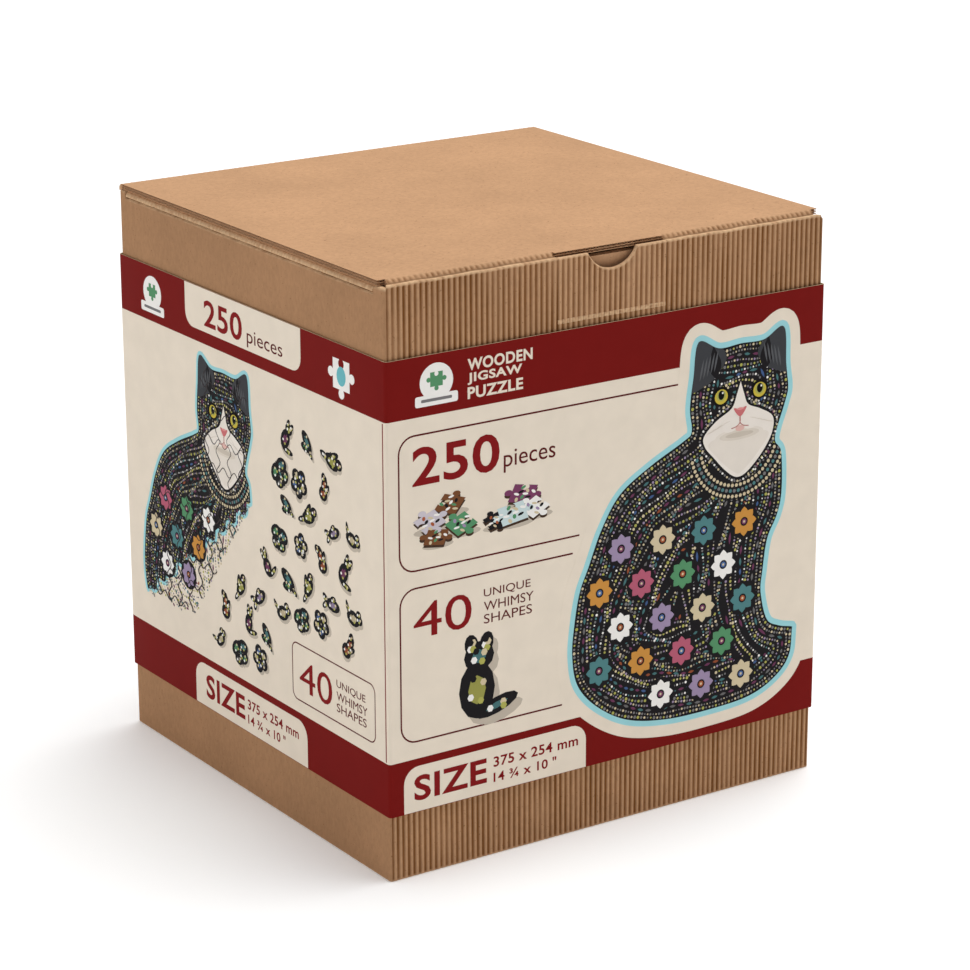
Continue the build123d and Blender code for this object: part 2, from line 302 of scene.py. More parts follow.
def piece_material():
    """A laser-cut plywood piece. The attribute kind is red on the printed face, green on burnt edges."""
    material, tree, shader = node_material("jigsaw_plywood", 0.55, 0.3)
    kind = tree.nodes.new("ShaderNodeAttribute")
    kind.attribute_name = "kind"
    split = tree.nodes.new("ShaderNodeSeparateColor")
    tree.links.new(kind.outputs["Color"], split.inputs["Color"])
    place = tree.nodes.new("ShaderNodeTexCoord")
    cells = tree.nodes.new("ShaderNodeTexVoronoi")
    cells.inputs["Scale"].default_value = 620
    tree.links.new(place.outputs["Object"], cells.inputs["Vector"])
    cell_split = tree.nodes.new("ShaderNodeSeparateColor")
    tree.links.new(cells.outputs["Color"], cell_split.inputs["Color"])
    palette = ramp_node(
        tree, cell_split.outputs["Red"], (0.0, NIGHT), (0.3, PLUM), (0.42, TEAL), (0.54, OLIVE),
        (0.66, SAND), (0.76, LILAC), (0.86, RUST), (0.95, WHITE),
    )
    rims = ramp_node(tree, cells.outputs["Distance"], (0.35, grey(1.0)), (0.6, grey(0.12)))
    printed = mix_node(tree, "MULTIPLY", 1.0, palette, rims)
    grain = noise_node(tree, 260, 6, (0.2, 1, 1))
    wood = ramp_node(tree, grain, (0.3, linear(205, 168, 120)), (0.7, linear(228, 198, 152)))
    burnt = linear(62, 42, 30)
    colour = mix_node(tree, "MIX", split.outputs["Red"], wood, printed)
    colour = mix_node(tree, "MIX", split.outputs["Green"], colour, burnt)
    tree.links.new(colour, shader.inputs["Base Color"])
    return material


KRAFT = kraft_material()
INK = ink_material()
PLYWOOD = piece_material()


# ---------------------------------------------------------------- flute board
def flute_dip(along, height, seed):
    """How far the liner sinks between two flutes, 0 on a ridge and 1 in a valley."""
    drift = 0.1 * noise.noise(Vector((along * 45, height * 18, seed)))
    wave = 0.5 - 0.5 * math.cos(2 * math.pi * (along / FLUTE + drift))
    strength = 0.86 + 0.4 * noise.noise(Vector((along * 240, height * 55, seed + 7)))
    return wave**1.25 * strength


def rim_rows(foot, top, count):
    """Heights up the outside of a wall, close together at both rims."""
    rim = min(0.75 * MM, (top - foot) * 0.25)
    return [foot + rim / 3, *np.linspace(foot + rim, top - rim, count), top - rim / 2]


def wall_profile(foot, top, count, sharp_foot=False, sharp_top=False):
    """One wall's closed outline as (depth below the outer face, height, share of flute, worn share).
    A foot or top at a crease is sharp; the others are cut edges, rounded and worn."""
    rows = [(0.0, foot, 1.0, 0.0)] if sharp_foot else [(0.5 * MM, foot, 0.0, 0.3)]
    for i, height in enumerate(rim_rows(foot, top, count)):
        rim = (i == 0 and not sharp_foot) or (i == count + 1 and not sharp_top)
        rows.append((0.0, height, 0.55 if rim else 1.0, 0.35 if rim else 0.0))
    rows.append((0.0, top, 1.0, 0.0) if sharp_top else (0.32 * MM, top, 0.4, 0.75))
    rows.append((BOARD - 0.4 * MM, top, 0.0, 0.5))
    rows.append((BOARD, top - 0.4 * MM, 0.0, 0.0))
    rows.append((BOARD, foot + 0.4 * MM, 0.0, 0.0))
    rows.append((BOARD - 0.4 * MM, foot, 0.0, 0.0))
    return rows


def spaced(start, end, step, extras=()):
    """Numbers from start to end about step apart, with the extras put in where they fall."""
    values = list(np.linspace(start, end, max(2, round((end - start) / step) + 1)))
    values += [v for v in extras if start < v < end]
    return sorted(values)


def both_sides_of(*places):
    """Two columns a hair apart at each place, so that an edge there is upright."""
    hair = 6e-6
    return [p + d for p in places for d in (-hair, hair)]


CORNER_R = 0.9 * MM
TAB_CUT = TAB_HALF + TAB_SLIT
TAB_CREASE = 0.6 * MM  # half the height of the crushed row at the lock tab's foot
WALL_ROWS = 20
# painted shade: a share of the dark colour laid over the whole of the fluted front and back walls
FRONT_PAINTED_SHADE = 0.1
SIDE_PAINTED_SHADE = 0.39  # painted shade: the smooth sides are coloured a little darker than the lid
FACING = {"front": 1.0, "right": 0.1, "back": 1.0, "left": 0.1}  # how deep the flutes read on each wall


def wall_stations():
    """(x, y, outward x, outward y, place along the wall, wall) round the carton, anticlockwise from above."""
    run_w = HALF_W - CORNER_R
    run_d = HALF_D - CORNER_R
    dust_cuts = both_sides_of(DUST_FRONT - RUN_GAP, DUST_BACK + RUN_GAP)
    fine = FLUTE / SAMPLES
    coarse = FLUTE / 2
    sides = (
        ("front", run_w, fine, both_sides_of(-TAB_CUT, TAB_CUT), (1, 0), (0, -HALF_D)),
        ("right", run_d, coarse, dust_cuts, (0, 1), (HALF_W, 0)),
        ("back", run_w, fine, (), (-1, 0), (0, HALF_D)),
        ("left", run_d, coarse, [-c for c in dust_cuts], (0, -1), (-HALF_W, 0)),
    )
    stations = []
    for name, run, step, cuts, (tx, ty), (cx, cy) in sides:
        out = (ty, -tx)
        for s in spaced(-run, run, step, cuts):
            stations.append((cx + tx * s, cy + ty * s, *out, s, name))
        hub = (cx + tx * run - out[0] * CORNER_R, cy + ty * run - out[1] * CORNER_R)
        for turn in (22.5, 45, 67.5):
            c = math.cos(math.radians(turn))
            s = math.sin(math.radians(turn))
            away = (out[0] * c + tx * s, out[1] * c + ty * s)
            stations.append((hub[0] + away[0] * CORNER_R, hub[1] + away[1] * CORNER_R, *away, run, "corner"))
    return stations


def wall_top(x, y, wall):
    if wall == "front":
        return TAB_FOOT - TAB_CREASE if abs(x) < TAB_CUT else FRONT_TOP
    if wall == "back":
        return BOX_H - FOLD_R
    if wall in ("left", "right") and DUST_FRONT - RUN_GAP < y < DUST_BACK + RUN_GAP:
        return SIDE_TOP
    return DUST_TOP


def build_walls():
    columns = []
    shade_and_wear = []
    for x, y, out_x, out_y, along, wall in wall_stations():
        depth = FLUTE_DEPTH * FACING.get(wall, 0.0)
        seed = "front right back left corner".split().index(wall) * 3.7
        lip = 0.22 * MM * noise.noise(Vector((x * 160, y * 160, 4.2)))
        column = []
        under_tab = wall == "front" and abs(x) < TAB_CUT
        profile = wall_profile(0.0, wall_top(x, y, wall), WALL_ROWS, False, under_tab)
        for inward, height, share, worn in profile:
            dip = flute_dip(along, height, seed) if depth and share else 0.0
            inset = inward + dip * depth * share
            if height > BOX_H / 2:
                height += lip * (worn > 0.3)
            px = x - out_x * inset
            py = y - out_y * inset
            if inward > BOARD / 2:
                px = min(max(px, BOARD - HALF_W), HALF_W - BOARD)
                py = min(max(py, BOARD - HALF_D), HALF_D - BOARD)
            column.append((px, py, height))
            scuff = 0.5 + noise.noise(Vector((x * 700, y * 700, height * 700)))
            fluted = FACING.get(wall) == 1.0
            # painted shade: darker in the flute valleys and over whole fluted walls, with the smooth sides
            # darkened by a fixed share
            shade = min(1.0, FRONT_PAINTED_SHADE + dip * share) if fluted else SIDE_PAINTED_SHADE
            shade_and_wear.append((shade, worn * min(1.0, max(0.0, scuff + 0.3))))
        columns.append(column)
    points, faces = sweep(columns, looped=True)
    mesh = solid_mesh("carton_walls", points, faces, shade_and_wear)
    walls = ("front_wall", "back_wall", "left_wall", "right_wall")
    add_object("carton_walls", mesh, KRAFT, "carton", walls)


def notch_drop(x):
    """How far the thumb notch, an arc of a circle, cuts down from the lock tab's top."""
    if abs(x) >= NOTCH_HALF_W:
        return 0.0
    radius = (NOTCH_HALF_W**2 + NOTCH_DEPTH**2) / (2 * NOTCH_DEPTH)
    return math.sqrt(radius**2 - x**2) - (radius - NOTCH_DEPTH)


def front_strip(name, half_width, foot, top_of, rows, cuts, crushed, sharp, body, replaces):
    """A fluted strip in the front wall's plane, in step with the wall's own flutes.
    sharp says whether its foot and top are creases, and crushed is how far its flutes are flattened there."""
    columns = []
    shade_and_wear = []
    for x in spaced(-half_width, half_width, FLUTE / SAMPLES, cuts):
        column = []
        tooth = 0.5 + 0.5 * math.sin(4 * math.pi * x / FLUTE + 2 * noise.noise(Vector((x * 300, 0, 2))))
        for inward, height, share, worn in wall_profile(foot, top_of(x), rows, *sharp):
            dip = flute_dip(x, height, 0.0) * share * (1 - crushed * tooth)
            column.append((x, -HALF_D + inward + dip * FLUTE_DEPTH, height))
            fuzz = crushed * (0.35 + 0.5 * tooth + 0.9 * noise.noise(Vector((x * 900, height * 1400, 3))))
            # painted shade: the flute valleys are darker by their dip; the fuzz is crushed fibre wear
            shade_and_wear.append((min(1.0, dip), max(0.0, min(1.0, worn * 0.8 + fuzz))))
        columns.append(column)
    points, faces = sweep(columns)
    return add_object(name, solid_mesh(name, points, faces, shade_and_wear), KRAFT, body, replaces)


def build_lock_tab():
    cuts = both_sides_of(-NOTCH_HALF_W, NOTCH_HALF_W)
    half = TAB_CUT - 0.07 * MM
    front_strip(
        "lock_tab", half, TAB_FOOT + TAB_CREASE, lambda x: FRONT_TOP - notch_drop(x), 9, cuts, 0.0,
        (True, False), "lock_tab", ("front_lock_tab",),
    )
    low = TAB_FOOT - TAB_CREASE
    high = TAB_FOOT + TAB_CREASE
    fold = front_strip("lock_tab_crease", half, low, lambda x: high, 4, (), 0.7, (True, True), None, ())
    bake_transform(fold)


LINER_T = 0.14 * MM
WAVE_T = 0.08 * MM


def flute_layers():
    """(top, bottom, wave height) of each sheet of a double-wall board, from its outer face down."""
    half = (BOARD - 3 * LINER_T) / 2
    sheets = []
    for i in range(3):
        start = i * (LINER_T + half)
        sheets.append((start, start + LINER_T, 0.0))
        if i < 2:
            middle = start + LINER_T + half / 2
            sheets.append((middle - WAVE_T / 2, middle + WAVE_T / 2, half / 2 - WAVE_T / 2))
    return sheets


def flute_board(name, half_width, low, high, place, body, replaces, cuts=(), middle=0.0):
    """A board whose cut ends show its flutes.
    place(s, v, t) is the point s across the flutes, v along them and t deep.
    low(s) and high(s) are where the board starts and ends along the flutes."""
    parts = []
    stations = spaced(middle - half_width, middle + half_width, FLUTE / SAMPLES, cuts)
    for top, bottom, wave in flute_layers():
        columns = []
        for s in stations:
            shift = wave * math.sin(2 * math.pi * s / FLUTE)
            setback = 0.12 * MM if wave else 0.0
            near = low(s) + setback
            far = high(s) - setback
            corners = ((near, top), (far, top), (far, bottom), (near, bottom))
            columns.append([place(s, v, t + shift) for v, t in corners])
        parts.append(sweep(columns))
    points, faces = joined(parts)
    return add_object(name, solid_mesh(name, points, faces), KRAFT, body, replaces, 30)


def fold_strip(name, spans, hub, start_turn, end_turn, place, dimple, fuzzy):
    """A rounded fold where two boards meet, an arc about hub between two turns in degrees, fixed in place on
    no body.
    """
    parts = []
    shade_and_wear = []
    for low, high in spans:
        columns = []
        for s in spaced(low, high, FLUTE / SAMPLES):
            dip = flute_dip(s, 0.1, 9.0)
            nick = 0.3 * MM * math.exp(-(((s - 0.35 * BOX_W) / (0.35 * MM)) ** 2))
            column = []
            for layer in (0, 1):
                for step in range(7):
                    share = step / 6 if layer == 0 else 1 - step / 6
                    turn = math.radians(start_turn + (end_turn - start_turn) * share)
                    bulge = math.sin(math.pi * share)
                    radius = FOLD_R - dimple * dip * bulge - nick if layer == 0 else 0.2 * MM
                    across = hub[0] + radius * math.cos(turn)
                    column.append(place(s, across, hub[1] + radius * math.sin(turn)))
                    fuzz = fuzzy * (0.5 + noise.noise(Vector((s * 1100, share * 2, 5))))
                    # painted shade in the fold's dimples, and worn fuzz on its outer face
                    shade_and_wear.append((dip * bulge * 0.9 * (dimple > 0), max(0.0, min(0.8, fuzz)) * (layer == 0)))
            columns.append(column)
        parts.append(sweep(columns))
    points, faces = joined(parts)
    obj = add_object(name, solid_mesh(name, points, faces, shade_and_wear), KRAFT, None)
    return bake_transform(obj)


def build_lid():
    cuts = both_sides_of(-TAB_CUT, TAB_CUT)
    flute_board(
        "lid_board", LID_HALF_W, lambda s: LID_FRONT if abs(s) < TAB_CUT else LID_FRONT + FOLD_R,
        lambda s: HALF_D - FOLD_R, lambda s, v, t: (s, v, BOX_H - t), "lid", ("lid_panel",), cuts,
    )
    lean = (math.sin(TUCK_LEAN), math.cos(TUCK_LEAN))

    def tuck_low(s):
        return TUCK_SLOT_END if abs(s) < TAB_CUT else FOLD_R

    def tuck_high(s):
        past = abs(s) - (TUCK_HALF_W - TUCK_CORNER_R)
        if past <= 0:
            return TUCK_LENGTH
        return TUCK_LENGTH - TUCK_CORNER_R + math.sqrt(max(0.0, TUCK_CORNER_R**2 - past**2))

    def on_tuck(s, v, t):
        return (s, LID_FRONT + v * lean[0] + t * lean[1], BOX_H - v * lean[1] + t * lean[0])

    flute_board("tuck_board", TUCK_HALF_W, tuck_low, tuck_high, on_tuck, "tuck", ("tuck_flap",), cuts)
    fold_strip(
        "lid_front_fold", ((-TUCK_HALF_W, -TAB_CUT), (TAB_CUT, TUCK_HALF_W)),
        (LID_FRONT + FOLD_R, BOX_H - FOLD_R), 90, 180,
        lambda s, a, b: (s, a, b), 0.3 * MM, 0.15,
    )
    fold_strip(
        "lid_back_fold", ((-LID_HALF_W, LID_HALF_W),), (HALF_D - FOLD_R, BOX_H - FOLD_R),
        BACK_FOLD_START, 90, lambda s, a, b: (s, a, b), 0.2 * MM, 0.3,
    )


def build_dust_flap(side, word):
    """A dust flap, side -1 for the left one and 1 for the right."""
    reach = HALF_W - DUST_END
    middle = (DUST_FRONT + DUST_BACK) / 2
    front_slope = DUST_FRONT_TAPER / reach
    back_slope = DUST_BACK_TAPER / reach

    def end(s):
        """How far the flap reaches where it is cut to a slant, with its corners rounded."""
        limits = [reach]
        if s > DUST_BACK - DUST_BACK_TAPER - DUST_CORNER_R:
            limits.append((DUST_BACK - s) / back_slope)
        if s < DUST_FRONT + DUST_FRONT_TAPER:
            limits.append((s - DUST_FRONT) / front_slope)
        nearest = min(s - DUST_FRONT - DUST_FRONT_TAPER, DUST_BACK - DUST_BACK_TAPER - s)
        if nearest < DUST_CORNER_R:
            past = min(DUST_CORNER_R, DUST_CORNER_R - nearest)
            limits.append(reach - DUST_CORNER_R + math.sqrt(max(0.0, DUST_CORNER_R**2 - past**2)))
        if nearest <= 0:
            limits[-1] = reach - DUST_CORNER_R
        return max(FOLD_R + 0.4 * MM, min(limits))

    flute_board(
        f"dust_board_{word}", (DUST_BACK - DUST_FRONT) / 2, lambda s: FOLD_R, end,
        lambda s, v, t: (side * (HALF_W - v), s, DUST_TOP - t),
        f"dust_{word}", (f"dust_flap_{word}",), middle=middle,
    )
    hub = (HALF_W - FOLD_R, DUST_TOP - FOLD_R)
    fold_strip(
        f"dust_fold_{word}", ((DUST_FRONT, DUST_BACK),), hub, 0, 90,
        lambda s, a, b: (side * a, s, b), 0.0, 0.9,
    )


# ---------------------------------------------------------------- sleeve
def build_sleeve():
    """The printed paper sleeve: one sheet creased round the carton, red at both rims and cream between."""
    rows = [(0, height) for height in (SLEEVE_FOOT, LOWER_RED, UPPER_RED, SLEEVE_TOP)]
    rows += [(PAPER, SLEEVE_TOP), (PAPER, SLEEVE_FOOT)]
    radius = 1.0 * MM
    columns = []
    for quarter in range(4):
        turn = quarter * 90
        cos = round(math.cos(math.radians(turn)))
        sin = round(math.sin(math.radians(turn)))
        run, reach = (SLEEVE_HALF_W, SLEEVE_HALF_D) if quarter % 2 == 0 else (SLEEVE_HALF_D, SLEEVE_HALF_W)
        along = [(s, 0.0) for s in spaced(radius - run, run - radius, 12 * MM)]
        for s, corner in along + [(run - radius, a) for a in (22.5, 45, 67.5)]:
            a = math.radians(corner)
            column = []
            for depth, height in rows:
                bend = radius - depth
                x = s + bend * math.sin(a)
                y = -(reach - radius) - bend * math.cos(a)
                wave = 0.1 * MM * noise.noise(Vector((x * 30, y * 30, height * 3 + quarter)))
                height = height + wave if height in (SLEEVE_FOOT, SLEEVE_TOP) else height
                column.append((x * cos - y * sin, x * sin + y * cos, max(height, SLEEVE_FOOT)))
            columns.append(column)
    points, faces = sweep(columns, looped=True)
    mesh = solid_mesh("printed_sleeve", points, faces)
    ink = mesh.attributes.new("ink", "FLOAT_COLOR", "CORNER")
    colours = np.empty((len(mesh.loops), 4), np.float32)
    for polygon in mesh.polygons:
        heights = [mesh.vertices[v].co.z for v in polygon.vertices]
        middle = (min(heights) + max(heights)) / 2
        upright = abs(polygon.normal.z) < 0.5
        centre = polygon.center
        outside = centre.x * polygon.normal.x + centre.y * polygon.normal.y > 0
        band = CREAM if LOWER_RED < middle < UPPER_RED else RED
        colour = band if upright and outside else SAND
        start = polygon.loop_start
        colours[start:start + polygon.loop_total] = colour
    ink.data.foreach_set("color", colours.ravel())
    panels = ("sleeve_front", "sleeve_back", "sleeve_left", "sleeve_right", "sleeve_lap")
    add_object("printed_sleeve", mesh, INK, "sleeve", panels)


# ---------------------------------------------------------------- drawing outlines, in millimetres
def ellipse(x, y, half_w, half_h, turn=0.0, sides=14):
    c = math.cos(math.radians(turn))
    s = math.sin(math.radians(turn))
    points = []
    for i in range(sides):
        a = 2 * math.pi * i / sides
        u = half_w * math.cos(a)
        v = half_h * math.sin(a)
        points.append((x + u * c - v * s, y + u * s + v * c))
    return points


def lens(x0, y0, x1, y1, width, fat_end=0.5, steps=5):
    """A leaf shape from one point to another, widest at the share fat_end of its length."""
    dx = x1 - x0
    dy = y1 - y0
    length = math.hypot(dx, dy)
    power = math.log(0.5) / math.log(fat_end)
    sides = ([], [])
    for i in range(steps + 1):
        share = i / steps
        half = width / 2 * math.sin(math.pi * share**power)
        for edge, sign in zip(sides, (1, -1)):
            out = sign * half / length
            edge.append((x0 + dx * share - dy * out, y0 + dy * share + dx * out))
    return sides[0] + sides[1][-2:0:-1]


def rounded_box(x0, y0, x1, y1, radius, corners="all"):
    """A box with rounded corners: all of them, or only those at its top or bottom."""
    points = []
    places = ((x1, y1, 0, "top"), (x0, y1, 90, "top"), (x0, y0, 180, "bottom"), (x1, y0, 270, "bottom"))
    for cx, cy, start, where in places:
        if corners not in ("all", where):
            points.append((cx, cy))
            continue
        hub_x = cx - radius if cx == x1 else cx + radius
        hub_y = cy - radius if cy == y1 else cy + radius
        for turn in range(start, start + 91, 15):
            a = math.radians(turn)
            points.append((hub_x + radius * math.cos(a), hub_y + radius * math.sin(a)))
    return points


def stroke(points, width, closed=False):
    """The outline of a line of that width along the points."""
    points = [np.array(p, float) for p in points]
    left = []
    right = []
    for i, p in enumerate(points):
        before = points[i - 1] if i or closed else p
        after = points[(i + 1) % len(points)] if i + 1 < len(points) or closed else p
        way = (after - before) / (np.linalg.norm(after - before) or 1)
        side = np.array((-way[1], way[0])) * width / 2
        left.append(tuple(p + side))
        right.append(tuple(p - side))
    if closed:
        return left + [left[0], right[0]] + right[::-1]
    return left + right[::-1]


def smooth(points, sharp=(), steps=8, closed=True):
    """A smooth line through the points, with a corner at each index in sharp."""
    count = len(points)
    pts = [np.array(p, float) for p in points]
    line = []
    for i in range(count if closed else count - 1):
        p1 = pts[i]
        p2 = pts[(i + 1) % count]
        p0 = pts[i - 1] if i or closed else p1
        p3 = pts[(i + 2) % count] if i + 2 < count or closed else p2
        m1 = p2 - p1 if i in sharp else (p2 - p0) / 2
        m2 = p2 - p1 if (i + 1) % count in sharp else (p3 - p1) / 2
        for k in range(steps):
            t = k / steps
            line.append(tuple(
                (2 * t**3 - 3 * t**2 + 1) * p1 + (t**3 - 2 * t**2 + t) * m1
                + (3 * t**2 - 2 * t**3) * p2 + (t**3 - t**2) * m2
            ))
    return line if closed else line + [tuple(pts[-1])]


def even(outline, gap):
    """The closed outline again, with points about gap apart."""
    points = np.array(list(outline) + [outline[0]], float)
    runs = np.concatenate(([0], np.cumsum(np.linalg.norm(np.diff(points, axis=0), axis=1))))
    places = np.linspace(0, runs[-1], int(runs[-1] / gap), endpoint=False)
    return np.stack([np.interp(places, runs, points[:, k]) for k in (0, 1)], axis=1)


def offset(outline, distance, gap=0.8):
    """The closed outline moved outward by distance, or inward where that is negative."""
    points = even(outline, gap)
    way = np.roll(points, -1, axis=0) - np.roll(points, 1, axis=0)
    way /= np.linalg.norm(way, axis=1, keepdims=True)
    area = np.sum(points[:, 0] * np.roll(points[:, 1], -1) - np.roll(points[:, 0], -1) * points[:, 1])
    out = np.stack([way[:, 1], -way[:, 0]], axis=1) * (1 if area > 0 else -1)
    moved = points + out * distance
    nearest = np.linalg.norm(moved[:, None] - points[None], axis=2).min(axis=1)
    return moved[nearest >= abs(distance) * 0.999]


def drawn_in(outline, limit):
    """The outline with each point that is past the limit moved onto it."""
    points = np.asarray(outline, float)
    x0, y0 = limit.T
    x1, y1 = np.roll(limit, -1, axis=0).T
    px, py = points.T[:, :, None]
    crossed = (y0 > py) != (y1 > py)
    left = px < x0 + (py - y0) * (x1 - x0) / np.where(y1 == y0, 1e-9, y1 - y0)
    within = (crossed & left).sum(axis=1) % 2 == 1
    if within.all():
        return outline
    nearest = np.linalg.norm(points[:, None] - limit[None], axis=2).argmin(axis=1)
    return np.where(within[:, None], points, limit[nearest])


class Drawing:
    """Flat shapes on one face. place and size set where a figure drawn in other millimetres goes."""

    def __init__(self):
        self.groups = {}
        self.words = []
        self.group = "panels"
        self.place = (0.0, 0.0)
        self.size = 1.0
        self.turn = 0.0
        self.keep = None
        self.limit = None

    def add(self, outline, colour, layer):
        if self.keep and not self.keep(*np.mean(np.asarray(outline), axis=0)):
            return
        if self.limit is not None:
            outline = drawn_in(outline, self.limit)
        c = math.cos(math.radians(self.turn)) * self.size
        s = math.sin(math.radians(self.turn)) * self.size
        moved = [(self.place[0] + x * c - y * s, self.place[1] + x * s + y * c) for x, y in outline]
        self.groups.setdefault(self.group, []).append((moved, colour, layer))

    def dot(self, x, y, radius, colour, layer, sides=6):
        self.add(ellipse(x, y, radius, radius, sides=sides), colour, layer)

    def gem(self, x, y, half_w, half_h, turn, colour, layer, heart=WHITE):
        """An oval stone in a dark setting, with a lighter heart."""
        self.add(ellipse(x, y, half_w + 0.5, half_h + 0.5, turn), NIGHT, layer)
        self.add(ellipse(x, y, half_w, half_h, turn), colour, layer + 1)
        self.add(ellipse(x, y, half_w * 0.45, half_h * 0.45, turn, 8), heart, layer + 2)

    def beads(self, line, pitch, radius, colours, layer, wiggle=0.0):
        """A string of beads along a line."""
        points = np.asarray(line, float)
        left = 0.0
        count = 0
        for a, b in zip(points[:-1], points[1:]):
            run = np.linalg.norm(b - a)
            if run > 3 * pitch + 1.5:
                left = 0.0
                continue
            while left <= run:
                x, y = a + (b - a) * (left / run if run else 0)
                size = radius * (1 + wiggle * random.uniform(-1, 1))
                self.dot(x, y, size, colours[count % len(colours)], layer)
                count += 1
                left += pitch
            left -= run

    def text(self, words, x0, y0, x1, y1, colour=DARK_RED, bold=0.0):
        """Words fitted into a box."""
        self.words.append((words, (x0, y0, x1, y1), colour, bold))


# ---------------------------------------------------------------- the cat
CAT = (
    (106, 142.5), (104.3, 132), (103.2, 123), (104, 116), (101, 113.5), (89, 108), (78.5, 101.5), (72, 92),
    (67.5, 81.5), (64.5, 74.5), (62.7, 65), (62, 55.5), (64, 46), (71, 38), (82, 31.5), (96, 28.5),
    (111.5, 28), (127, 29), (137, 33), (142.5, 39), (143.5, 48), (138, 49.5), (133.5, 52.5), (131, 61.5),
    (131.5, 68.5), (133, 78), (136.5, 85), (138, 92), (137.5, 104), (135, 109), (138.5, 119.5), (139.5, 124),
    (138.5, 131), (137.3, 142.5), (130, 139.7), (121.6, 139.8), (113.5, 139.5),
)
CAT_SHARP = (20,)
CAT_LINE = smooth(CAT, CAT_SHARP)
RING_COLOURS = (
    (OLIVE, GREY, SAND, GREY), (GREY, SAND, GREY), (PLUM, TEAL, GREY), (SAND, GREY, LILAC),
    (GREY, OLIVE), (TEAL, GREY, WHITE), (TEAL, PLUM, BLUE), (GREY, WHITE, GREY),
    (OLIVE, SAND), (LILAC, GREY, SAND), (RUST, TEAL, PLUM), (GREY, TEAL, SAND),
)


def draw_body(d, ground):
    """The dark ground, with rings of fine beads and seeds that follow its outline inward."""
    d.add(ground, NIGHT, 3)
    for ring in range(25):
        line = offset(CAT_LINE, -(0.9 + 1.33 * ring))
        if len(line) < 8:
            break
        line = np.concatenate([line, line[:1]])
        line = line + (0.2 + 0.045 * ring) * np.sin(line[:, ::-1] * 0.31 + ring)
        colours = RING_COLOURS[ring % len(RING_COLOURS)]
        if ring % 4 == 2:
            draw_seeds(d, line, colours)
        else:
            d.beads(line, 1.06 if ring % 2 else 1.22, 0.34 if ring % 2 else 0.42, colours, 4, 0.3)


def draw_seeds(d, line, colours):
    """A ring of slim seeds along their line, as feather ribs do."""
    for i in range(0, len(line) - 4, 4):
        a = line[i]
        b = line[i + 3]
        if np.linalg.norm(b - a) > 4:
            continue
        colour = colours[i // 4 % len(colours)]
        d.add(lens(*a, *b, 0.85, 0.5, 4), GREY if colour is NIGHT else tinted(colour, NIGHT, 0.25), 4)


ROSETTE_PITCH = 15.0
ROSETTE_RADIUS = 4.6
ROSETTE_TOP = 92  # the flowers stay below the collar


def draw_rosette(d, x, y, petal, heart):
    """A plain round flower of eight equal petals."""
    d.add(ellipse(x, y, ROSETTE_RADIUS + 0.7, ROSETTE_RADIUS + 0.7, 0, 24), NIGHT, 9)
    for k in range(8):
        a = math.radians(45 * k)
        end = (x + ROSETTE_RADIUS * math.cos(a), y + ROSETTE_RADIUS * math.sin(a))
        d.add(lens(x, y, *end, ROSETTE_RADIUS * 0.6, 0.6, 8), petal, 10)
    d.gem(x, y, 0.9, 0.9, 0, heart, 11, SAND)


def draw_rosettes(d):
    """Plain flowers on a staggered grid over the body, clear of its edge and whole."""
    room = [tuple(p) for p in offset(CAT_LINE, -ROSETTE_RADIUS - 2)]
    petals = (WHITE, LILAC, SAND, TEAL, ORANGE, PINK, GREEN)
    hearts = (PLUM, RUST, BLUE)
    count = 0
    for row in range(6):
        y = 37 + ROSETTE_PITCH * 0.8 * row
        for column in range(7):
            x = 64 + ROSETTE_PITCH * (column + row % 2 / 2)
            rim = ellipse(x, y, ROSETTE_RADIUS + 2, ROSETTE_RADIUS + 2)
            whole = d.keep is None or all(d.keep(*p) for p in rim)
            if y < ROSETTE_TOP and whole and inside(room, x, y):
                draw_rosette(d, x, y, petals[count % len(petals)], hearts[count % len(hearts)])
                count += 1


def draw_collar(d):
    """Three plain strings of beads that hang round the bib."""
    for k, colours in enumerate(((SAND,), (TEAL, GREY), (SAND,))):
        reach = 14.2 + 1.7 * k
        turns = np.radians(np.linspace(195, 345, 30))
        arc = [(121.4 + reach * math.cos(a), 111 + reach * math.sin(a)) for a in turns]
        d.add(stroke(arc, 1.9), NIGHT, 8)
        d.beads(arc, 1.5, 0.6, colours, 9)


EAR_GREY = linear(66, 67, 70)
FUR_WHITE = linear(240, 231, 221)
FUR_SHADE = (linear(233, 223, 211), linear(222, 211, 197), linear(206, 194, 179))


def draw_ears(d):
    """Grey ears that are black inside, with a few paler hairs."""
    ears = (
        (1, (
            (104, 144.5), (112, 141.8), (116.2, 136.6), (113.6, 132.4), (109.2, 129.2), (101, 127.6),
            (101, 136),
        )),
        (-1, (
            (139.4, 144.5), (132, 141), (127.8, 136.8), (129.6, 132.8), (133.6, 130.2), (141, 128.6),
            (142, 136),
        )),
    )
    for side, ear in ears:
        d.add(smooth(ear, (0,)), EAR_GREY, 9)
        middle = 121.5 - side * 11.4
        d.add(lens(middle + side * 1.2, 141, middle + side * 2.4, 130.5, 4.6, 0.6, 10), NIGHT, 10)
        for k in range(5):
            root = (middle - side * (3.6 - 1.3 * k), 130.6 + 0.5 * k)
            d.add(lens(*root, root[0] + side * 1.4, root[1] + 6.5, 0.7), linear(92, 93, 96), 11)


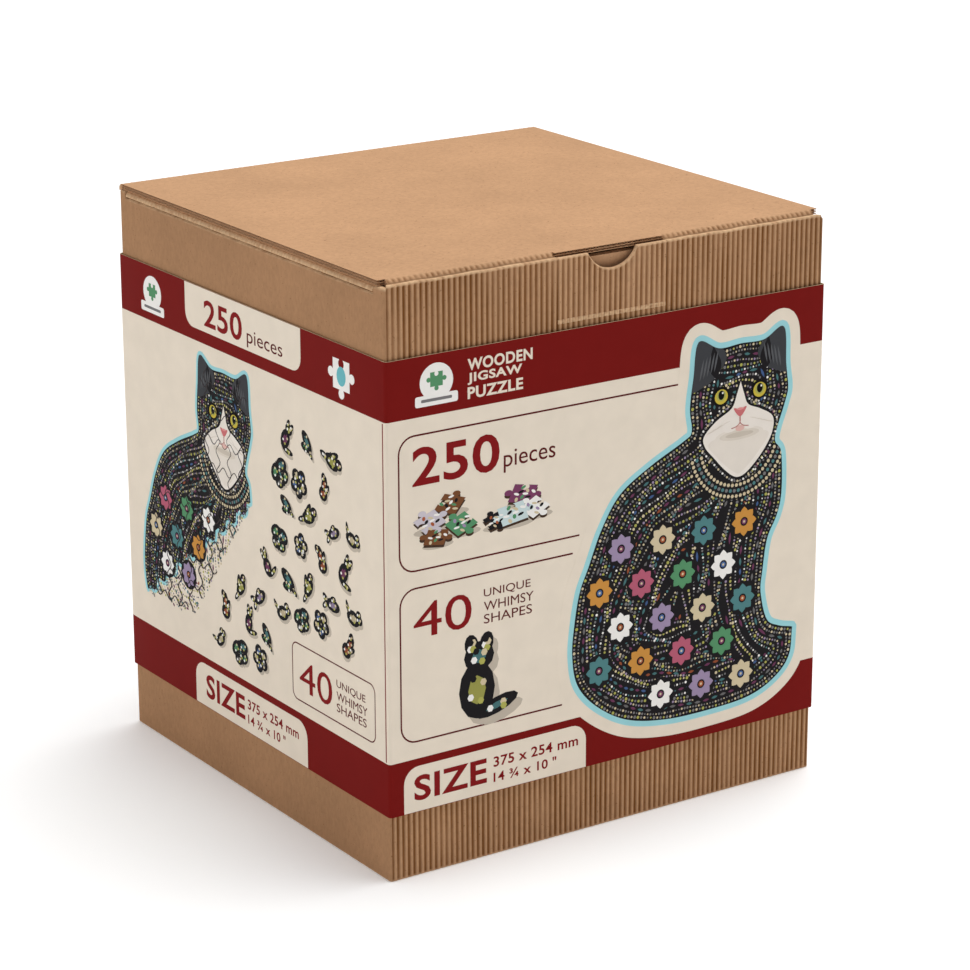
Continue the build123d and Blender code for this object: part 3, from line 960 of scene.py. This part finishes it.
def draw_muzzle(d):
    """The white blaze, muzzle and bib, with the nose and mouth."""
    muzzle = (
        (121.6, 128.4), (122.9, 124.6), (124.6, 121), (129.2, 118.9), (133.8, 115.9), (133.9, 111.4),
        (131.2, 106.6), (127, 102.2), (123.2, 99.6), (120, 99.6), (116.2, 102.4), (112.2, 106.6),
        (109, 110.2), (108.4, 113.6), (112.8, 117.6), (118.4, 120.6), (120.2, 124.4),
    )
    white = smooth(muzzle, (0,), 5)
    d.add(offset(white, 0.6, 0.4), NIGHT, 10)
    rim = offset(white, 1.25, 0.4)
    rim = np.concatenate([rim, rim[:1]])
    d.beads(rim[rim[:, 1] < 125], 1.1, 0.36, (SAND, GREY, WHITE, GREY), 16)
    d.add(white, FUR_WHITE, 11)
    bib = (
        (110.4, 111.4), (121.4, 113), (132.2, 111.4), (129.4, 106.6), (123, 100.9), (120, 100.9),
        (113.4, 106.6),
    )
    d.add(smooth(bib), FUR_SHADE[0], 12)
    for half_w, half_h, shade, layer in ((9, 2.3, 0, 13), (7.4, 1.5, 1, 14), (5.2, 0.8, 2, 15)):
        d.add(ellipse(121.5, 112.4 - 0.12 * half_h, half_w, half_h, 0, 20), FUR_SHADE[shade], layer)
    for side in (-1, 1):
        d.add(ellipse(121.5 + side * 3.3, 115.9, 3.5, 2.4, -side * 12, 16), FUR_WHITE, 16)
        for k in range(4):
            root = (121.6 + side * (3.4 + 2.0 * k), 117 - 0.7 * k)
            d.add(lens(*root, root[0] + side * 3.0, root[1] - 0.7, 0.22), FUR_SHADE[1], 17)
    d.add(ellipse(121.6, 114.2, 1.7, 0.9, 0, 12), linear(228, 186, 176), 17)
    nose = ((119.3, 120.5), (121.6, 120.0), (123.9, 120.5), (122.8, 118.6), (121.6, 117.8), (120.4, 118.6))
    d.add(smooth(nose), linear(206, 116, 118), 18)
    d.add(lens(120, 120.1, 123.2, 120.1, 0.7), linear(226, 150, 148), 19)
    for side in (-1, 1):
        mouth = [(121.6, 117.8), (121.6, 116), (121.6 + side * 1.2, 114.9), (121.6 + side * 3.2, 114.5)]
        d.add(stroke(smooth(mouth, (), 4, False), 0.28), linear(178, 112, 106), 18)


def draw_eyes(d):
    for side in (-1, 1):
        x = 121.6 + side * 7.1
        d.add(ellipse(x, 124.9, 3.15, 2.9, 0, 20), linear(22, 20, 20), 14)
        d.add(ellipse(x, 124.8, 2.4, 2.25, 0, 20), YELLOW, 15)
        d.add(ellipse(x, 125.1, 1.75, 1.7, 0, 16), OLIVE, 16)
        d.add(ellipse(x, 125.3, 1.1, 1.45, 0, 14), linear(14, 13, 13), 17)
        d.add(lens(x - 2.7, 125.8, x + 2.7, 125.8, 1.7, 0.5, 9), linear(22, 20, 20), 14)
        d.dot(x + 0.5, 125.9, 0.34, WHITE, 18)


def draw_face(d):
    """A plain tuxedo cat's face: grey ears, yellow eyes, white muzzle and bib."""
    draw_ears(d)
    draw_muzzle(d)
    draw_eyes(d)


def draw_cat(d, ground):
    d.limit = even(CAT_LINE, 0.4)
    draw_body(d, ground)
    draw_rosettes(d)
    draw_collar(d)
    draw_face(d)
    d.limit = None


# ---------------------------------------------------------------- small figures
FIGURES = {  # ellipses (x, y, half width, half height, turn) in a box of 1 by 1
    "butterfly": ((-0.24, 0.18, 0.26, 0.2, 30), (0.24, 0.18, 0.26, 0.2, -30), (-0.2, -0.2, 0.2, 0.16, -30),
                  (0.2, -0.2, 0.2, 0.16, 30), (0, 0, 0.06, 0.4, 0)),
    "bird": ((0, 0, 0.34, 0.19, 18), (0.3, 0.24, 0.14, 0.13, 0), (-0.38, -0.16, 0.2, 0.07, 20),
             (-0.05, 0.16, 0.28, 0.1, 62)),
    "cat": ((0, -0.14, 0.2, 0.32, 0), (0.03, 0.26, 0.16, 0.15, 0), (0.13, 0.4, 0.05, 0.11, -12),
            (-0.07, 0.4, 0.05, 0.11, 12), (0.27, -0.38, 0.26, 0.07, 16)),
    "fish": ((0.05, 0, 0.34, 0.17, 0), (-0.36, 0.1, 0.14, 0.07, -40), (-0.36, -0.1, 0.14, 0.07, 40),
             (0.05, 0.17, 0.12, 0.08, 20)),
    "flower": ((0, 0.24, 0.16, 0.19, 0), (0.23, 0.06, 0.16, 0.19, -72), (0.14, -0.2, 0.16, 0.19, -144),
               (-0.14, -0.2, 0.16, 0.19, 144), (-0.23, 0.06, 0.16, 0.19, 72)),
    "leaf": ((0, 0.05, 0.15, 0.38, 24), (-0.14, -0.12, 0.1, 0.24, 60), (0.1, -0.36, 0.04, 0.16, 24)),
    "mouse": ((0, -0.06, 0.3, 0.2, 8), (0.28, 0.06, 0.15, 0.12, 0), (0.22, 0.2, 0.09, 0.09, 0),
              (-0.34, 0.08, 0.2, 0.04, 130)),
    "tower": ((0, -0.2, 0.22, 0.22, 0), (0, 0.12, 0.13, 0.3, 0), (0.16, 0.02, 0.07, 0.2, -30),
              (-0.1, 0.34, 0.08, 0.14, 20)),
}


def draw_figure(d, kind, x, y, size, turn, colours):
    """A whimsy: a dark figure covered in bright beads, with a soft shadow to its lower right."""
    outer = (d.place, d.size, d.turn)
    d.place = (x, y)
    d.size = size
    d.turn = turn
    for k, (ex, ey, half_w, half_h, lean) in enumerate(FIGURES[kind]):
        d.add(ellipse(ex + 0.07, ey - 0.09, half_w + 0.04, half_h + 0.03, lean, 12), SHADOW, 1)
        d.add(ellipse(ex, ey, half_w + 0.045, half_h + 0.03, lean, 12), NIGHT, 2)
        middle = tinted(colours[k % len(colours)], NIGHT, 0.25)
        d.add(ellipse(ex, ey, half_w * 0.6, half_h * 0.55, lean, 8), middle, 3)
        for spot, colour in enumerate((SAND, NIGHT, WHITE, OLIVE)):
            a = math.radians(lean + 90 * spot + 30)
            d.dot(ex + half_w * 0.5 * math.cos(a), ey + half_h * 0.5 * math.sin(a), 0.045, colour, 4)
    d.place, d.size, d.turn = outer


def jigsaw_outline(size, sides):
    """A jigsaw piece about (0, 0). sides holds 1 for a knob, -1 for a socket and 0 for a straight side."""
    half = size / 2
    points = []
    for k, kind in enumerate(sides):
        c = math.cos(math.radians(90 * k))
        s = math.sin(math.radians(90 * k))
        run = [(-half, half)]
        if kind:
            for turn in range(230, -51, -28):
                a = math.radians(turn)
                run.append((size * 0.17 * math.cos(a), half + kind * size * (0.13 + 0.17 * math.sin(a))))
        points.extend((out * c - along * s, out * s + along * c) for along, out in run)
    return points


def draw_tile(d, x, y, size, turn, sides, colours):
    """A wooden piece lying on the ground, seen from low down."""
    c = math.cos(math.radians(turn))
    s = math.sin(math.radians(turn))

    def lie(u, v, drop=0.0):
        return (x + u * c - v * s, y + (u * s + v * c) * 0.62 - drop)

    outline = jigsaw_outline(size, sides)
    d.add(ellipse(x + 0.6, y - size * 0.34, size * 0.75, size * 0.16), SHADOW, 1)
    d.add([lie(u, v, 0.75) for u, v in outline], linear(72, 54, 42), 2)
    d.add([lie(u, v) for u, v in outline], colours[0], 3)
    for k in range(9):
        u = size * 0.42 * math.cos(k * 2.4) * (0.25 + 0.1 * k)
        v = size * 0.42 * math.sin(k * 2.4) * (0.25 + 0.1 * k)
        colour = colours[1 + k % (len(colours) - 1)]
        d.add([lie(u + a, v + b) for a, b in ellipse(0, 0, size * 0.13, size * 0.07, 40 * k, 8)], colour, 4)


def draw_loose_pieces(d, x, y, grounds):
    """A small group of pieces, each (across, up, size, turn, ground colour)."""
    for k, (across, up, size, turn, ground) in enumerate(grounds):
        accents = (WHITE, NIGHT, (GREEN, RUST, LILAC)[k % 3], SAND)
        sides = ((1, -1, 1, 0), (1, 1, -1, 1), (-1, 1, 0, 1))[k % 3]
        draw_tile(d, x + across, y + up, size, turn, sides, (ground, *accents))


def draw_jigsaw_icon(d, x, y, size, colour, layer, heart=None):
    """One plain jigsaw piece with three knobs and a socket at its top."""
    d.add([(x + u, y + v) for u, v in jigsaw_outline(size * 0.62, (1, -1, 1, 1))], colour, layer)
    if heart:
        d.add(ellipse(x, y - size * 0.03, size * 0.17, size * 0.2, 0, 18), heart, layer + 1)


def draw_badge(d, x, y, width, height):
    """A plain domed badge with a jigsaw piece, over a plate with a blank bar."""
    plate = height * 0.26
    d.add(ellipse(x + width / 2, y + height * 0.56, width * 0.39, height * 0.45, 0, 28), WHITE, 1)
    d.add(rounded_box(x, y, x + width, y + plate, 0.7), WHITE, 2)
    draw_jigsaw_icon(d, x + width / 2, y + height * 0.62, height * 0.56, GREEN, 3)
    d.add(rounded_box(x + width * 0.14, y + plate * 0.38, x + width * 0.86, y + plate * 0.66, 0.3), GREY, 3)


# ---------------------------------------------------------------- the faces of the sleeve
def open_panel(d, x0, y0, y1, top_end, bottom_end, radius=5.0):
    """A panel drawn as a line round its left side, open at the right."""
    points = [(top_end, y1)]
    for turn in range(90, 181, 15):
        a = math.radians(turn)
        points.append((x0 + radius + radius * math.cos(a), y1 - radius + radius * math.sin(a)))
    for turn in range(180, 271, 15):
        a = math.radians(turn)
        points.append((x0 + radius + radius * math.cos(a), y0 + radius + radius * math.sin(a)))
    points.append((bottom_end, y0))
    d.add(stroke(points, 0.5), LINE_RED, 1)


def draw_shape_count(d, x, y, size, line_x, line_width):
    """The count of figure shapes, with three small lines beside it."""
    d.text("40", x, y, x + size * 1.88, y + size)
    for k, word in enumerate(("UNIQUE", "WHIMSY", "SHAPES")):
        top = y + size - k * size * 0.37
        d.text(word, line_x, top - size * 0.27, line_x + line_width * (0.94, 1.0, 0.97)[k], top, LINE_RED)


def draw_size_tab(d, x0, x1, word_x0, word_x1, line_x, line_width):
    """The cream tab in the lower red band, with the finished size."""
    foot = SLEEVE_FOOT / MM
    d.add(rounded_box(x0, foot + 0.15, x1, 33.9, 5, "top"), CREAM, 1)
    d.text("SIZE", word_x0, 23.3, word_x1, 31.0, bold=0.026)
    d.text("375 x 254 mm", line_x, 27.5, line_x + line_width, 30.7, bold=0.02)
    d.text("14 \u00be x 10 \"", line_x, 22.8, line_x + line_width * 0.74, 25.9, bold=0.02)


def front_drawing():
    random.seed(11)
    d = Drawing()
    d.add(offset(CAT_LINE, 5.3, 0.25), CREAM, 1)
    d.group = "badge"
    draw_badge(d, 9, 138.7, 14, 11.8)
    for k, (word, width) in enumerate((("WOODEN", 21.7), ("JIGSAW", 18.2), ("PUZZLE", 18.5))):
        d.text(word, 26.2, 146.6 - 4.05 * k, 26.2 + width, 150 - 4.05 * k, CREAM, 0.03)
    d.group = "panels"
    open_panel(d, 3.5, 92, 131, 98.8, 64.3)
    open_panel(d, 3.5, 41.4, 86.9, 62, 58.5)
    d.text("250", 7.9, 116.3, 36.8, 127.4, bold=0.018)
    d.text("pieces", 38.2, 115.2, 55.8, 121.6, LINE_RED)
    draw_shape_count(d, 7.9, 71.9, 10.3, 31.4, 17)
    draw_size_tab(d, 4.2, 67.1, 7.6, 32.3, 34.6, 29.7)
    d.group = "figures"
    brown = linear(122, 78, 50)
    pale = linear(206, 222, 222)
    grey_lilac = linear(206, 198, 206)
    draw_loose_pieces(d, 8.9, 98.4, (
        (11.2, 11, 7.8, 62, brown), (4.6, 7, 8, 30, grey_lilac),
        (15, 4.6, 8, 34, GREEN), (6.6, 2.2, 7, -14, brown),
    ))
    draw_loose_pieces(d, 31.7, 98.2, (
        (13, 9.8, 8.2, -18, PLUM), (3.6, 3.6, 6.4, 25, NIGHT),
        (17, 5.2, 7.6, 40, WHITE), (9.6, 4.6, 9, 12, pale),
    ))
    draw_figure(d, "cat", 29, 56, 25, 0, (OLIVE, TEAL, SAND))
    d.group = "cat"
    d.add(offset(CAT_LINE, 1.7, 0.25), CYAN, 2)
    draw_cat(d, CAT_LINE)
    return d


def still_whole(x, y):
    """Whether a point of the cat is on the part of the side face that hasn't come apart into pieces."""
    return y > 47 + 1.2 * math.sin(x * 0.35) and x < 98 + (y - 47.5) * 0.79


def torn_ground():
    """The cat's outline with its lower right side stepped like the edge of a part-made jigsaw."""
    line = [tuple(p) for p in even(CAT_LINE, 0.8)]
    start = next(i for i in range(len(line)) if still_whole(*line[i]) and not still_whole(*line[i - 1]))
    line = line[start:] + line[:start]
    kept = []
    for p in line:
        if not still_whole(*p):
            break
        kept.append(p)
    first = np.array(kept[-1])
    last = np.array(kept[0])
    way = (last - first) / np.linalg.norm(last - first)
    side = np.array((way[1], -way[0]))
    steps = int(np.linalg.norm(last - first) / 2.2)
    for k in range(1, steps):
        kept.append(tuple(first + way * 2.2 * k + side * (1.8 if k // 2 % 2 else -0.6)))
    return kept


def side_drawing():
    random.seed(12)
    d = Drawing()
    d.add(rounded_box(40.2, 139.8, 106.5, SLEEVE_TOP / MM - 0.15, 4.5, "bottom"), CREAM, 1)
    d.text("250", 51.5, 141.6, 73.8, 149.8, bold=0.018)
    d.text("pieces", 76.5, 140.8, 96.5, 146.2, LINE_RED)
    draw_size_tab(d, 40.2, 106.2, 46.5, 70, 71.7, 29.6)
    box = rounded_box(98.6, 40.2, 143.6, 57.7, 2.5)
    d.add(stroke(box, 0.4, True), LINE_RED, 1)
    draw_shape_count(d, 102.5, 43.6, 9.6, 123, 16.5)
    d.add(stroke([(149.2, 36.6), (149.2, 135.6)], 0.5), linear(134, 62, 60), 1)
    d.group = "badge"
    draw_badge(d, 12.8, 138.5, 14.2, 11.5)
    draw_jigsaw_icon(d, 128.2, 144.4, 14, WHITE, 1, linear(112, 188, 196))
    d.group = "figures"
    kinds = sorted(FIGURES)
    colours = (OLIVE, TEAL, PLUM, RUST, BLUE, GREEN, SAND, LILAC)
    count = 0
    for row in range(8):
        y = 119 - 10.6 * row
        cat_edge = 91 if y > 90 else 48 + (y - 47) * 0.9
        for column in range(7):
            x = 134 - 12.2 * column - 5 * (row % 2) + random.uniform(-1.8, 1.8)
            if x < cat_edge or (y < 66 and x > 91) or (y > 108 and x > 124):
                continue
            pick = colours[count % 8], colours[(count * 3 + 2) % 8], WHITE if count % 3 == 0 else GREY
            size = random.uniform(8.6, 10.6)
            rise = random.uniform(-1.6, 1.6)
            draw_figure(d, kinds[count * 5 % len(kinds)], x, y + rise, size, random.uniform(-40, 40), pick)
            count += 1
    d.group = "cat"
    d.size = 0.88
    d.place = (9.4 - 62 * d.size, 132 - 142.5 * d.size)
    ground = torn_ground()
    d.add(offset(ground, 1.3), CYAN, 2)
    d.keep = still_whole
    draw_cat(d, ground)
    d.keep = None
    for k in range(12):
        for across in (False, True):
            seam = seam_line(k, across)
            if len(seam) > 6:
                d.add(stroke(seam, 0.28), linear(66, 60, 60), 18)
    return d


def seam_line(k, across):
    """One wavy cut between the made-up pieces of the side face's cat."""
    at = 30 + 9.4 * k if across else 58 + 7.4 * k
    points = []
    for u in np.arange(26, 146, 1.0):
        v = at + 1.3 * math.sin(u * 0.85 + k * 2.1)
        p = (u + 35, v) if across else (v, u)
        if still_whole(*p) and inside(CAT_CORE, *p):
            points.append(p)
        elif len(points) > 6:
            break
        else:
            points = []
    return points


def inside(outline, x, y):
    """Whether a point is in a closed outline, by counting the sides that it is left of."""
    hits = 0
    for (x0, y0), (x1, y1) in zip(outline, list(outline[1:]) + [outline[0]]):
        if (y0 > y) != (y1 > y) and x < x0 + (y - y0) * (x1 - x0) / (y1 - y0):
            hits += 1
    return hits % 2 == 1


CAT_CORE = [tuple(p) for p in offset(CAT_LINE, -0.8)]

# Each face's own axes: where its (0, 0) is, which way its x goes, and which way it faces.
FACES = {
    "front": ((-HALF_W, -SLEEVE_HALF_D), (1, 0), (0, -1)),
    "back": ((HALF_W, SLEEVE_HALF_D), (-1, 0), (0, 1)),
    "left": ((-SLEEVE_HALF_W, HALF_D), (0, -1), (-1, 0)),
    "right": ((SLEEVE_HALF_W, -HALF_D), (0, 1), (1, 0)),
}
LAYER = 0.012 * MM
SHAPE_STEPS = 23  # shapes of one layer lie at slightly different heights, so that none share a plane
SHAPE_STEP = 0.0005 * MM
SUNK = 0.08 * MM


def on_face(face, x, y, lift):
    """A point of a face's drawing, x and y in millimetres, lifted off the paper by lift metres."""
    (cx, cy), (tx, ty), (nx, ny) = FACES[face]
    return (cx + tx * x * MM + nx * lift, cy + ty * x * MM + ny * lift, y * MM)


def print_shapes(name, face, shapes):
    """Each flat shape as a thin closed block whose foot is inside the paper."""
    points = []
    faces = []
    colours = []
    for order, (outline, colour, layer) in enumerate(shapes):
        count = len(outline)
        first = len(points)
        lift = LAYER * (layer + 1) + order % SHAPE_STEPS * SHAPE_STEP
        points.extend(on_face(face, x, y, lift) for x, y in outline)
        points.extend(on_face(face, x, y, -SUNK) for x, y in outline)
        faces.append(tuple(range(first, first + count)))
        faces.append(tuple(range(first + 2 * count - 1, first + count - 1, -1)))
        for i in range(count):
            j = (i + 1) % count
            faces.append((first + j, first + i, first + count + i, first + count + j))
        colours.extend([colour] * (count * 6))
    mesh = bpy.data.meshes.new(name)
    mesh.from_pydata(points, [], faces)
    ink = mesh.attributes.new("ink", "FLOAT_COLOR", "CORNER")
    ink.data.foreach_set("color", np.array(colours, np.float32).ravel())
    finish_print(name, mesh)


def finish_print(name, mesh):
    work = bmesh.new()
    work.from_mesh(mesh)
    bmesh.ops.recalc_face_normals(work, faces=work.faces)
    work.to_mesh(mesh)
    work.free()
    add_object(name, mesh, INK, "sleeve", (), 20)


def print_words(name, face, words):
    """Lettering as thin closed blocks, each line fitted to its box."""
    work = bmesh.new()
    ink = work.loops.layers.float_color.new("ink")
    for text, (x0, y0, x1, y1), colour, bold in words:
        curve = bpy.data.curves.new("words", "FONT")
        curve.body = text
        curve.resolution_u = 4
        curve.offset = bold
        curve.space_character = 1 + 2.6 * bold
        curve.extrude = 0.5
        holder = bpy.data.objects.new("words", curve)
        bpy.context.scene.collection.objects.link(holder)
        bpy.context.view_layer.update()
        letters = bpy.data.meshes.new_from_object(holder.evaluated_get(bpy.context.evaluated_depsgraph_get()))
        places = np.empty(len(letters.vertices) * 3)
        letters.vertices.foreach_get("co", places)
        places = places.reshape(-1, 3)
        low = places.min(axis=0)
        high = places.max(axis=0)
        share = (places - low) / (high - low)
        verts = []
        for u, v, w in share:
            lift = LAYER * 3 if w > 0.5 else -SUNK
            verts.append(work.verts.new(on_face(face, x0 + (x1 - x0) * u, y0 + (y1 - y0) * v, lift)))
        for polygon in letters.polygons:
            made = work.faces.new([verts[i] for i in polygon.vertices])
            for loop in made.loops:
                loop[ink] = colour
        bpy.data.objects.remove(holder)
        bpy.data.curves.remove(curve)
        bpy.data.meshes.remove(letters)
    bmesh.ops.remove_doubles(work, verts=work.verts, dist=1e-7)
    mesh = bpy.data.meshes.new(name)
    work.to_mesh(mesh)
    work.free()
    finish_print(name, mesh)


def build_prints():
    for faces, drawing in ((("front", "back"), front_drawing()), (("left", "right"), side_drawing())):
        for face in faces:
            for group, shapes in drawing.groups.items():
                print_shapes(f"print_{face}_{group}", face, shapes)
            print_words(f"print_{face}_lettering", face, drawing.words)


# ---------------------------------------------------------------- wooden pieces
def build_pieces(node):
    """The node's pieces again, with each face marked as printed, burnt edge or bare ply."""
    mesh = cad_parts[node].data.copy()
    mesh.materials.clear()
    work = bmesh.new()
    work.from_mesh(mesh)
    bmesh.ops.remove_doubles(work, verts=work.verts, dist=1e-6)
    bmesh.ops.recalc_face_normals(work, faces=work.faces)
    kind = work.loops.layers.float_color.new("kind")
    seen = set()
    for start in work.faces:
        if start in seen:
            continue
        piece = []
        stack = [start]
        seen.add(start)
        while stack:
            face = stack.pop()
            piece.append(face)
            for edge in face.edges:
                for other in edge.link_faces:
                    if other not in seen:
                        seen.add(other)
                        stack.append(other)
        flat = flat_direction(piece)
        if flat.z < 0:
            flat = -flat
        printed_up = noise.random() < 0.72
        for face in piece:
            facing = face.normal.dot(flat)
            edge = abs(facing) < 0.9
            printed = not edge and (facing > 0) == printed_up
            for loop in face.loops:
                loop[kind] = (float(printed), float(edge), 0.0, 1.0)
    work.to_mesh(mesh)
    work.free()
    add_object(f"wooden_{node}", mesh, PLYWOOD, "carton", (node,), 30)


def flat_direction(piece):
    """The way a piece's two flat faces look: the normal that most of its area shares."""
    areas = {}
    for face in piece:
        normal = face.normal
        key = tuple(round(abs(v), 2) for v in normal)
        total, _ = areas.get(key, (0.0, normal))
        areas[key] = (total + face.calc_area(), normal.copy())
    return max(areas.values(), key=lambda entry: entry[0])[1]


# ---------------------------------------------------------------- camera, light and floor
CAMERA_AZIMUTH = math.radians(-33.97)
CAMERA_ELEVATION = math.radians(17.66)
CAMERA_ROLL = math.radians(-0.13)
CAMERA_DISTANCE = 6.67 * BOX_W
CAMERA_LENS = 123.2
CAMERA_SIDE = 0.038 * BOX_W
CAMERA_RISE = -0.016 * BOX_W


def build_camera():
    sin_az = math.sin(CAMERA_AZIMUTH)
    cos_az = math.cos(CAMERA_AZIMUTH)
    level_reach = math.cos(CAMERA_ELEVATION)
    back = Vector((sin_az * level_reach, -cos_az * level_reach, math.sin(CAMERA_ELEVATION)))
    right = Vector((cos_az, sin_az, 0))
    up = back.cross(right)
    level = right * math.cos(CAMERA_ROLL) + up * math.sin(CAMERA_ROLL)
    upright = up * math.cos(CAMERA_ROLL) - right * math.sin(CAMERA_ROLL)
    camera = bpy.data.objects.new("camera", bpy.data.cameras.new("camera"))
    bpy.context.scene.collection.objects.link(camera)
    camera.data.lens = CAMERA_LENS
    camera.data.sensor_width = 36
    camera.data.clip_start = 0.01
    camera.data.clip_end = 50
    basis = camera.matrix_world.copy()
    for column, axis in enumerate((level, upright, back)):
        for row in range(3):
            basis[row][column] = axis[row]
    place = Vector((0, 0, BOX_H / 2)) + back * CAMERA_DISTANCE + level * CAMERA_SIDE + upright * CAMERA_RISE
    for row in range(3):
        basis[row][3] = place[row]
    camera.matrix_world = basis
    bpy.context.scene.camera = camera


FLOOR_HALF = 3.0
SKY = 0.29
SUN = 2.55
FILL = 0.44
FLOOR_GLOW = 0.13
SUN_WAY = Vector((0.28, 0.0, 0.96))  # towards the light
FILL_WAY = Vector((-0.8, 0.35, 0.5))
SUN_SPREAD = math.radians(50)


def build_stage():
    scene = bpy.context.scene
    scene.view_settings.view_transform = "Standard"
    world = bpy.data.worlds.new("studio")
    scene.world = world
    world.use_nodes = True
    tree = world.node_tree
    background = tree.nodes["Background"]
    background.inputs["Color"].default_value = (1, 1, 1, 1)
    background.inputs["Strength"].default_value = SKY
    seen = tree.nodes.new("ShaderNodeBackground")
    seen.inputs["Color"].default_value = (1, 1, 1, 1)
    seen.inputs["Strength"].default_value = 1.05
    path = tree.nodes.new("ShaderNodeLightPath")
    mix = tree.nodes.new("ShaderNodeMixShader")
    tree.links.new(path.outputs["Is Camera Ray"], mix.inputs[0])
    tree.links.new(background.outputs[0], mix.inputs[1])
    tree.links.new(seen.outputs[0], mix.inputs[2])
    tree.links.new(mix.outputs[0], tree.nodes["World Output"].inputs["Surface"])
    for name, energy, way in (("key_light", SUN, SUN_WAY), ("fill_light", FILL, FILL_WAY)):
        lamp = bpy.data.objects.new(name, bpy.data.lights.new(name, "SUN"))
        lamp.data.energy = energy
        lamp.data.angle = SUN_SPREAD
        lamp.rotation_mode = "QUATERNION"
        lamp.rotation_quaternion = way.to_track_quat("Z", "Y")
        scene.collection.objects.link(lamp)
    material, _, shader = node_material("white_floor", 0.9, 0.0)
    shader.inputs["Base Color"].default_value = (0.97, 0.97, 0.97, 1)
    shader.inputs["Emission Color"].default_value = (1, 1, 1, 1)
    shader.inputs["Emission Strength"].default_value = FLOOR_GLOW
    corners = [(x * FLOOR_HALF, y * FLOOR_HALF, 0) for x, y in ((-1, -1), (1, -1), (1, 1), (-1, 1))]
    mesh = bpy.data.meshes.new("floor")
    mesh.from_pydata(corners, [], [(0, 1, 2, 3)])
    mesh.materials.append(material)
    floor = bpy.data.objects.new("floor", mesh)
    scene.collection.objects.link(floor)


# ---------------------------------------------------------------- build
build_camera()
build_stage()
build_walls()
build_lock_tab()
build_lid()
build_dust_flap(-1, "left")
build_dust_flap(1, "right")
build_sleeve()
build_prints()

noise.seed_set(5)
for node in sorted(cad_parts):
    if node.startswith(("pieces_", "border_", "whimsy_")):
        build_pieces(node)

for node in ("glue_flap", "bottom_front_flap", "bottom_back_flap", "bottom_left_flap", "bottom_right_flap"):
    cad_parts[node].data.materials.clear()
    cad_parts[node].data.materials.append(KRAFT)
